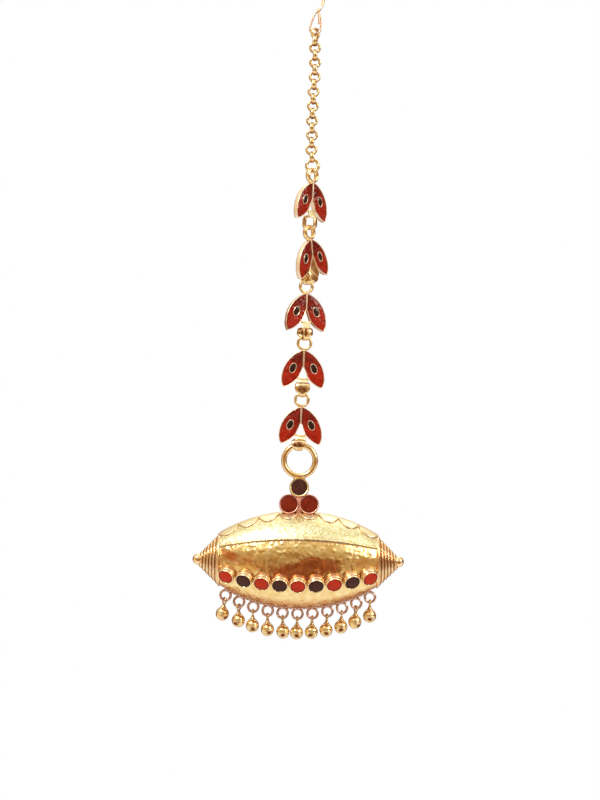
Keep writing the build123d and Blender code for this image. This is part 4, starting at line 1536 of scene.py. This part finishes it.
@dataclass
class TopCells:
    """Three large cells that lean over the body, under the collar and the big ring."""

    base: PendantFrame
    tilt: float = 14.0
    collar_y: float = -4.1
    collar_size: tuple[float, float, float] = (2.6, 1.3, 1.2)
    web_size: tuple[float, float, float] = (1.25, 5.0, 1.0)
    radius: float = 2.15
    half: float = 0.75
    cells: tuple[tuple[str, float, float, float], ...] = (
        ("dark", 0.0, 1.95, 1.76), ("left", -2.2, 5.65, 1.88), ("right", 2.2, 5.65, 1.88),
    )

    def cell(self, p: float) -> Skin:
        """One round cell of a pocket radius: wall, rounded rim and floor."""
        h, r = self.half, self.radius
        profile = np.array([
            (0, -h), (r - 0.15, -h), (r - 0.04, -h + 0.05), (r, -h + 0.15), (r, h - 0.16),
            (r - 0.03, h - 0.06), (r - 0.08, h), (p + 0.08, h), (p + 0.03, h - 0.04), (p, h - 0.12),
            (p, h - 0.5), (0, h - 0.5),
        ])
        # painted shade on the back, down the outer wall and in the pocket beside the disc
        tones = np.array([0.7, 0.6, 0.55, 0.45, 0.15, 0.02, 0, 0.12, 0.55, 0.95])
        return turned(profile, 64, tones)

    def enamel(self, pocket: float, seed: int) -> Skin:
        """One disc, nearly level with its rim and a little wavy."""
        h, p = self.half, pocket - 0.01
        profile = np.array([(0, h - 0.48), (p, h - 0.48), (p, h - 0.12), (p - 0.08, h - 0.08),
                            (p - 0.3, h - 0.06), (1.0, h - 0.05), (0.5, h - 0.05), (0, h - 0.05)])
        # painted shade along the disc's edge
        disc = turned(profile, 56, np.array([1.0, 1.0, 0.7, 0.2, 0.1, 0.1]))
        disc.points[:, 2] += 0.015 * ripple(disc.points[:, :2], 1.8, seed)
        return disc

    def rounded_block(self, size: tuple[float, float, float], middle: tuple[float, ...]) -> Skin:
        """A block with rounded edges: superellipse rings that shrink at top and foot."""
        w, h, d = (v / 2 for v in size)
        t = np.linspace(-1, 1, 15)
        shrink = 1 - np.abs(t) ** 5 * 0.35
        unit = rounded_section(1, 1, 4.0, 32)
        rings = slices(unit, h * t, w * shrink, d * shrink)
        return loft(rings, tone=0.1).moved(np.eye(3), middle)

    def build(self) -> None:
        """Make ring, collar and dark cell as one piece, the web and lower cells as another in gold
        with a painted red reflection, then the three discs.
        """
        lean, root = turn_about(0, -self.tilt), np.array([0, self.collar_y, 0])
        half = self.base.ring_wire
        ring = band_ring(self.base.ring_radius, half, half, power=2.0, count=96, around=28)
        ring.points *= 1 + 0.002 * ripple(ring.points, 4.0, 9)[:, None]
        cast = ring.shaded(0.06) + self.rounded_block(self.collar_size, (0, self.collar_y, -0.1))
        # the web and the lower cells take gold with a painted reflection of the maroon enamel
        red_reflecting_gold = self.rounded_block(self.web_size, (0, -5.4, -0.1)).moved(lean, root)
        for number, (name, x, drop, pocket) in enumerate(self.cells):
            middle = root + lean @ np.array([x, -drop, 0])
            cell = self.cell(pocket).moved(lean, middle)
            dark = name == "dark"
            if dark:
                cast += cell
            else:
                red_reflecting_gold += cell
            disc = self.enamel(pocket, 200 + number).moved(lean, middle)
            self.base.make(f"top_disc_{name}", disc, CELL_DARK if dark else CELL_MAROON,
                           (f"top_enamel_{name}",))
        self.base.make("ring_and_top_cell", cast, GOLD_CAST)
        self.base.make("lower_top_cells", red_reflecting_gold, GOLD_RED_REFLECTION)


@dataclass
class Fringe:
    """The twisted rim, its small rings and the ball drops that hang in them."""

    base: PendantFrame
    rim_half_angle: float = 28.5
    rim_strand: float = 0.23
    rim_spread: float = 0.17
    rim_twist: float = 1.5
    ring_radius: float = 1.12
    ring_wire: float = 0.28
    ring_gap: float = 1.35
    eye_radius: float = 0.64
    eye_wire: float = 0.2
    eye_gap: float = 0.07
    hang_y: float = -0.84
    pitch: float = 5.49
    ball: float = 1.43
    wide: float = 1.01
    tall: float = 1.07
    drop: float = 4.1
    neck: tuple[Pair, ...] = (
        (0, 1.28), (0.66, 1.33), (0.68, 1.44), (0.54, 1.58), (0.41, 1.72), (0.34, 1.95),
        (0.33, 2.2), (0, 2.3),
    )
    hangs: tuple[Pair, ...] = (
        (9.0, 35), (1.4, -30), (1.4, 0), (0, 12), (-2.0, -8), (2.0, 5), (2.6, -10), (3.4, 8),
        (2.6, 0), (3.6, 30), (0.5, -6),
    )

    def rim(self) -> Skin:
        """Two strands wound round the outline's arc, half a turn apart."""
        arc = self.base.arc()
        centre = self.base.axis_y - self.base.mid_radius + arc
        angle = np.radians(np.linspace(-1, 1, 520) * self.rim_half_angle)
        out = np.stack([np.sin(angle), -np.cos(angle), 0 * angle], axis=1)
        winding = 2 * np.pi * arc * angle / self.rim_twist
        strands = []
        for phase in (0.0, np.pi):
            c, s = np.cos(winding + phase)[:, None], np.sin(winding + phase)[:, None]
            path = arc * out + np.array([0, centre, 0])
            path = path + self.rim_spread * (c * out + s * np.array([0, 0, 1.0]))
            strands.append(wire(path, self.rim_strand, around=10))
        rim = joined(strands)
        # painted shade along the rim's outer side and in the grooves between the strands
        away = np.hypot(rim.points[:, 0], rim.points[:, 1] - centre) - arc
        around = np.arctan2(rim.points[:, 0], centre - rim.points[:, 1])
        painted_groove_shade = 0.5 + 0.5 * np.cos(4 * np.pi * arc * around / self.rim_twist)
        return rim.shaded(0.75 * smooth_step(away, 0.10, 0.26) + 0.25 * painted_groove_shade**4)

    def drop_skin(self, seed: int) -> Skin:
        """A ball of two cups with a seam, a neck and a wire eye, drawn from its ring's centre."""
        angle = np.radians(np.linspace(-90, 90, 61))
        radius = self.ball + 0.04 * np.exp(-((np.degrees(angle) / 3.2) ** 2))
        radius = radius - 0.012 * np.exp(-(((np.abs(np.degrees(angle)) - 8.5) / 3.0) ** 2))
        profile = (self.wide, self.tall) * (radius[:, None] * rays(angle))
        seam = np.exp(-(((np.abs(np.degrees(angle)) - 6.5) / 3.0) ** 2))[1:-1]
        ball = turned(profile, 56, 0.22 * seam)
        ball.points *= 1 + 0.010 * ripple(ball.points, 1.7, seed)[:, None]
        ball = ball.moved(turn_about(0, -90), (0, -self.drop, 0))
        x, height, depth = ball.points[:, 0], ball.points[:, 1] + self.drop, ball.points[:, 2]
        chance = np.random.default_rng(seed)
        across, low = chance.uniform(-0.15, 0.30), chance.uniform(-0.72, -0.50)
        front = depth > 0
        # painted reflection: a dark spot low on the ball's front, with a soft halo round it
        spot = bump_at(x, height, (across, low), (0.50, 0.34), chance.uniform(-25, 25)) * front
        spot = smooth_step(spot, 0.25, 0.60)
        painted_reflection_halo = bump_at(x, height, (across, low - 0.1), (0.95, 0.50)) * front
        # painted shade at the top by the neck, the painted reflection, and random real tarnish
        painted_light_and_tarnish = 0.6 * smooth_step(height, 1.20, 1.50) + spot + 0.40 * painted_reflection_halo
        painted_light_and_tarnish += 0.30 * smooth_step(ripple(ball.points, 0.9, seed + 2), 0.35, 0.8)
        ball = ball.shaded(np.clip(painted_light_and_tarnish, 0, 1))
        eye_y = self.hang_y + self.eye_gap + self.eye_wire - self.eye_radius
        eye = band_ring(self.eye_radius, self.eye_wire, self.eye_wire, 2.0, count=32, around=12)
        eye = eye.moved(turn_about(1, 90), (0, eye_y, 0))
        neck = turned(np.array(self.neck), 24, 0.35).moved(turn_about(0, -90), (0, -self.drop, 0))
        return ball + neck + eye.shaded(0.25)

    def build(self) -> None:
        """Make the rim, the rings together and each drop."""
        self.base.make("twisted_rim", self.rim(), GOLD_TWIST)
        rings = []
        centres = self.base.ring_centres(self.ring_gap, self.pitch, len(self.hangs))
        for number, (x, y) in enumerate(centres):
            ring = band_ring(self.ring_radius, self.ring_wire, self.ring_wire, 2.0, count=40,
                             around=14)
            ring.points *= 1 + 0.012 * ripple(ring.points, 2.2, 300 + number)[:, None]
            away = np.abs(np.hypot(ring.points[:, 0], ring.points[:, 1]) - self.ring_radius)
            # painted shade on the wire's inner and outer edges, with random real tarnish
            painted_light_and_tarnish = 0.85 * smooth_step(away / self.ring_wire, 0.50, 0.95) + 0.15
            painted_light_and_tarnish += 0.30 * smooth_step(ripple(ring.points, 1.2, 320 + number), 0.1, 0.8)
            rings.append(ring.shaded(painted_light_and_tarnish).moved(np.eye(3), (x, y, 0)))
        self.base.make("fringe_rings", joined(rings), GOLD_TWIST)
        for number, (lean, turn) in enumerate(self.hangs, start=1):
            low, high = box_mm(f"ball_drop_{number}")
            ball_centre = np.array([*(low + high)[:2] / 2, low[2] + self.ball])
            placing = hanging_turn(turn, 0, lean)
            origin = ball_centre + placing @ np.array([0, self.drop, 0])
            make_piece(f"drop_{number}", self.drop_skin(340 + number).moved(placing, origin),
                       GOLD_BALL, Body.PENDANT, (f"ball_drop_{number}",), 70)


# ------------------------------------------------------------------ studio
@dataclass
class Studio:
    """Camera, pale floor, soft lamps and the light of the room."""

    camera_at: tuple[float, float, float] = (-0.0022, -0.320, -0.0966)
    roll: float = -0.8
    half_height: float = 0.088
    floor_x: Pair = (-1.6, 1.6)
    floor_y: Pair = (-0.26, 0.24)
    floor_z: float = -0.35
    floor_points: int = 9
    look_at: tuple[float, float, float] = (0, 0, -0.10)
    lamps: tuple[tuple[tuple[float, float, float], float, float], ...] = (
        ((-0.26, -0.30, 0.30), 0.17, 1.9),
        ((0.40, -0.22, 0.10), 0.22, 0.8),
        ((0.05, 0.30, 0.35), 0.40, 0.6),
    )
    middle_wall: tuple[tuple[float, Colour], ...] = (
        (-1.0, (0.92, 0.86, 0.78)), (-0.64, (0.70, 0.48, 0.30)), (-0.54, (0.34, 0.13, 0.06)),
        (-0.34, (0.20, 0.075, 0.03)), (-0.15, (0.24, 0.10, 0.045)), (0.0, (0.36, 0.20, 0.10)),
        (0.14, (0.50, 0.36, 0.21)), (0.36, (0.62, 0.50, 0.33)), (0.62, (0.84, 0.76, 0.60)),
        (0.80, (1.02, 0.97, 0.88)), (1.0, (1.12, 1.09, 1.04)),
    )
    side_walls: tuple[tuple[float, Colour], ...] = (
        (-1.0, (0.92, 0.86, 0.78)), (-0.50, (0.86, 0.66, 0.44)), (-0.22, (0.84, 0.60, 0.34)),
        (-0.04, (0.46, 0.28, 0.14)), (0.10, (0.50, 0.36, 0.21)), (0.50, (0.74, 0.62, 0.44)),
        (0.75, (1.0, 0.94, 0.83)), (1.0, (1.12, 1.09, 1.04)),
    )
    far_walls: tuple[tuple[float, Colour], ...] = (
        (-1.0, (0.72, 0.60, 0.48)), (-0.60, (0.40, 0.20, 0.10)), (-0.25, (0.22, 0.09, 0.04)),
        (0.25, (0.30, 0.16, 0.08)), (0.55, (0.80, 0.68, 0.52)), (0.85, (1.05, 1.0, 0.90)),
        (1.0, (1.12, 1.09, 1.04)),
    )
    window: Colour = (0.92, 0.80, 0.58)

    def camera(self) -> None:
        """The camera, level and rolled a little; its long side spans the picture's height."""
        data = bpy.data.cameras.new("camera")
        data.sensor_width = 36.0
        data.lens = 18.0 / (self.half_height / abs(self.camera_at[1]))
        data.clip_start, data.clip_end = 0.01, 20.0
        camera = put_in_scene("camera", data)
        camera.location = self.camera_at
        camera.rotation_euler = Euler((math.radians(90), math.radians(self.roll), 0))
        bpy.context.scene.camera = camera

    def light(self, number: int, at: tuple[float, float, float], size: float, power: float) -> None:
        """One soft square lamp that looks at the middle of the piece."""
        data = bpy.data.lights.new(f"lamp_{number}", "AREA")
        data.size, data.energy = size, power
        lamp = put_in_scene(f"lamp_{number}", data)
        lamp.location = at
        aim = Vector(self.look_at) - Vector(at)
        lamp.rotation_euler = aim.to_track_quat("-Z", "Y").to_euler()

    def floor(self) -> None:
        """A pale sheet below the piece that ends in front of it, white to the eye."""
        side = self.floor_points
        x, y = np.linspace(*self.floor_x, side), np.linspace(*self.floor_y, side)
        grid = np.stack(np.meshgrid(x, y, [self.floor_z], indexing="ij"), -1).reshape(-1, 3)
        quads = grid_quads(np.arange(side * side).reshape(side, side))
        mesh = bpy.data.meshes.new("floor")
        mesh.from_pydata(grid.tolist(), [], quads.tolist())
        material = bpy.data.materials.new("floor_paper")
        graph = blank_graph(material)
        place = graph.add("ShaderNodeTexCoord").outputs["Object"]
        fibre = graph.spread(graph.noise(place, 0.02, 3, 0.6), 0.3, 0.7, 0, 1)
        paper = graph.add("ShaderNodeBsdfDiffuse",
                          {"Color": graph.blend(fibre, (0.86, 0.86, 0.85), (0.90, 0.90, 0.89))})
        seen = graph.add("ShaderNodeLightPath")
        sight = graph.maths("MAXIMUM", seen.outputs["Is Camera Ray"],
                            graph.maths("MAXIMUM", seen.outputs["Is Glossy Ray"],
                                        seen.outputs["Is Transmission Ray"]))
        glow = graph.add("ShaderNodeEmission", {"Color": (1, 1, 1, 1), "Strength": 1.02})
        both = graph.add("ShaderNodeMixShader", {"0": graph.maths("MULTIPLY", sight, 0.96),
                                                 "1": paper.outputs[0], "2": glow.outputs[0]})
        graph.add("ShaderNodeOutputMaterial", {"Surface": both.outputs[0]})
        mesh.materials.append(material)
        put_in_scene("floor", mesh)

    def ramp(self, graph: Graph, height: Any, stops: tuple[tuple[float, Colour], ...]) -> Any:
        """Colour by height, where height is the sine of the elevation."""
        node = graph.add("ShaderNodeValToRGB", {"Fac": height})
        band = node.color_ramp
        while len(band.elements) < len(stops):
            band.elements.new(0.5)
        for element, (sine, colour) in zip(band.elements, stops):
            element.position = (sine + 1) / 2
            element.color = (*colour, 1.0)
        return node.outputs["Color"]

    def room(self) -> None:
        """A bright ceiling, a white backdrop behind the piece and a warm, dimmer room around it.

        The light depends on direction alone.  The middle of the room's front wall is dimmest low
        down, its sides are brighter, a pale window stands on the left, and the walls on the right
        and behind are dim but for the white backdrop itself.
        """
        world = bpy.data.worlds.new("room")
        bpy.context.scene.world = world
        graph = blank_graph(world)
        aim = graph.add("ShaderNodeTexCoord").outputs["Generated"]
        parts = graph.add("ShaderNodeSeparateXYZ", {"Vector": aim}).outputs
        height = graph.spread(parts["Z"], -1, 1, 0, 1)
        middle = self.ramp(graph, height, self.middle_wall)
        sides = self.ramp(graph, height, self.side_walls)
        walls = self.ramp(graph, height, self.far_walls)
        off_right = graph.spread(parts["X"], 0.38, 0.62, 0, 1)
        off_left = graph.spread(parts["X"], -0.22, -0.42, 0, 1)
        colour = graph.blend(graph.maths("MAXIMUM", off_left, off_right), middle, sides)
        on_left = graph.spread(parts["X"], -0.80, -0.93, 0, 1)
        colour = graph.blend(on_left, colour, self.window)
        around = graph.maths("MAXIMUM", graph.spread(parts["X"], 0.80, 0.93, 0, 1),
                             graph.spread(parts["Y"], 0.02, 0.30, 0, 1))
        colour = graph.blend(around, colour, walls)
        behind = graph.spread(parts["Y"], 0.95, 0.98, 0, 1)
        seen = graph.add("ShaderNodeLightPath").outputs["Is Camera Ray"]
        colour = graph.blend(graph.maths("MAXIMUM", behind, seen), colour, (1.0, 1.0, 1.0))
        shine = graph.add("ShaderNodeBackground", {"Color": colour, "Strength": 1.0})
        graph.add("ShaderNodeOutputWorld", {"Surface": shine.outputs[0]})

    def build(self) -> None:
        """Set up the studio."""
        self.camera()
        self.floor()
        self.room()
        for number, (at, size, power) in enumerate(self.lamps, start=1):
            self.light(number, at, size, power)
        bpy.context.scene.view_settings.view_transform = "Standard"


def main() -> None:
    """Build the piece from the hook down, then the studio."""
    logging.basicConfig(level=logging.INFO, format="%(message)s")
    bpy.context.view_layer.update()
    HairHook().build()
    BelcherChain().build()
    JumpRing().build()
    for link in (
        LeafLink(1, turn=46, nod=0, lean=2.2, bail_most=0.72, bail_twist=16, neck_half=0.9,
                 bail_wall=0.36, ring_wire=0.36, ring_radius=1.36, ring_wide=0.58),
        LeafLink(2, turn=46, nod=-13, lean=-15, kink=36, ring_wire=0.36, ring_radius=1.36,
                 ring_wide=0.55),
        LeafLink(3, turn=22, nod=0, lean=1.0, bail_most=1.36, bail_stretch=0.80, neck_half=0.9,
                 bail_painted_reflections=(
            (-1.7, -1.02, -0.7, 1.1, 1.4), (-0.66, -0.02, -0.6, 1.0, 1.5),
            (0.02, 0.42, -0.5, 0.9, 1.0), (0.80, 1.7, -0.6, 1.1, 1.1), (-1.3, 1.3, 0.90, 1.3, 0.9),
        )),
        LeafLink(4, turn=2, nod=0, lean=1.8, bail_stretch=1.12, bail_painted_reflections=(
            (-1.0, 0.95, -0.45, 1.05, 0.75), (-0.8, 0.6, -0.35, 0.6, 0.95),
            (-1.7, -1.40, -0.4, 1.3, 1.0), (1.35, 1.7, -0.4, 1.3, 0.9), (-1.4, 1.4, 1.32, 1.8, 1.0),
        )),
        LeafLink(5, turn=0, nod=0, lean=1.7, last=True, bail_painted_reflections=(
            (-1.2, 0.75, -0.45, 0.80, 1.0), (-1.6, 1.6, 0.95, 1.3, 0.9),
        )),
    ):
        link.build()
    base = PendantFrame()
    SpindleBody(base).build()
    RibbedCone(base).build()
    CellRow(base).build()
    TopCells(base).build()
    Fringe(base).build()
    Studio().build()


if __name__ == "__main__":
    main()
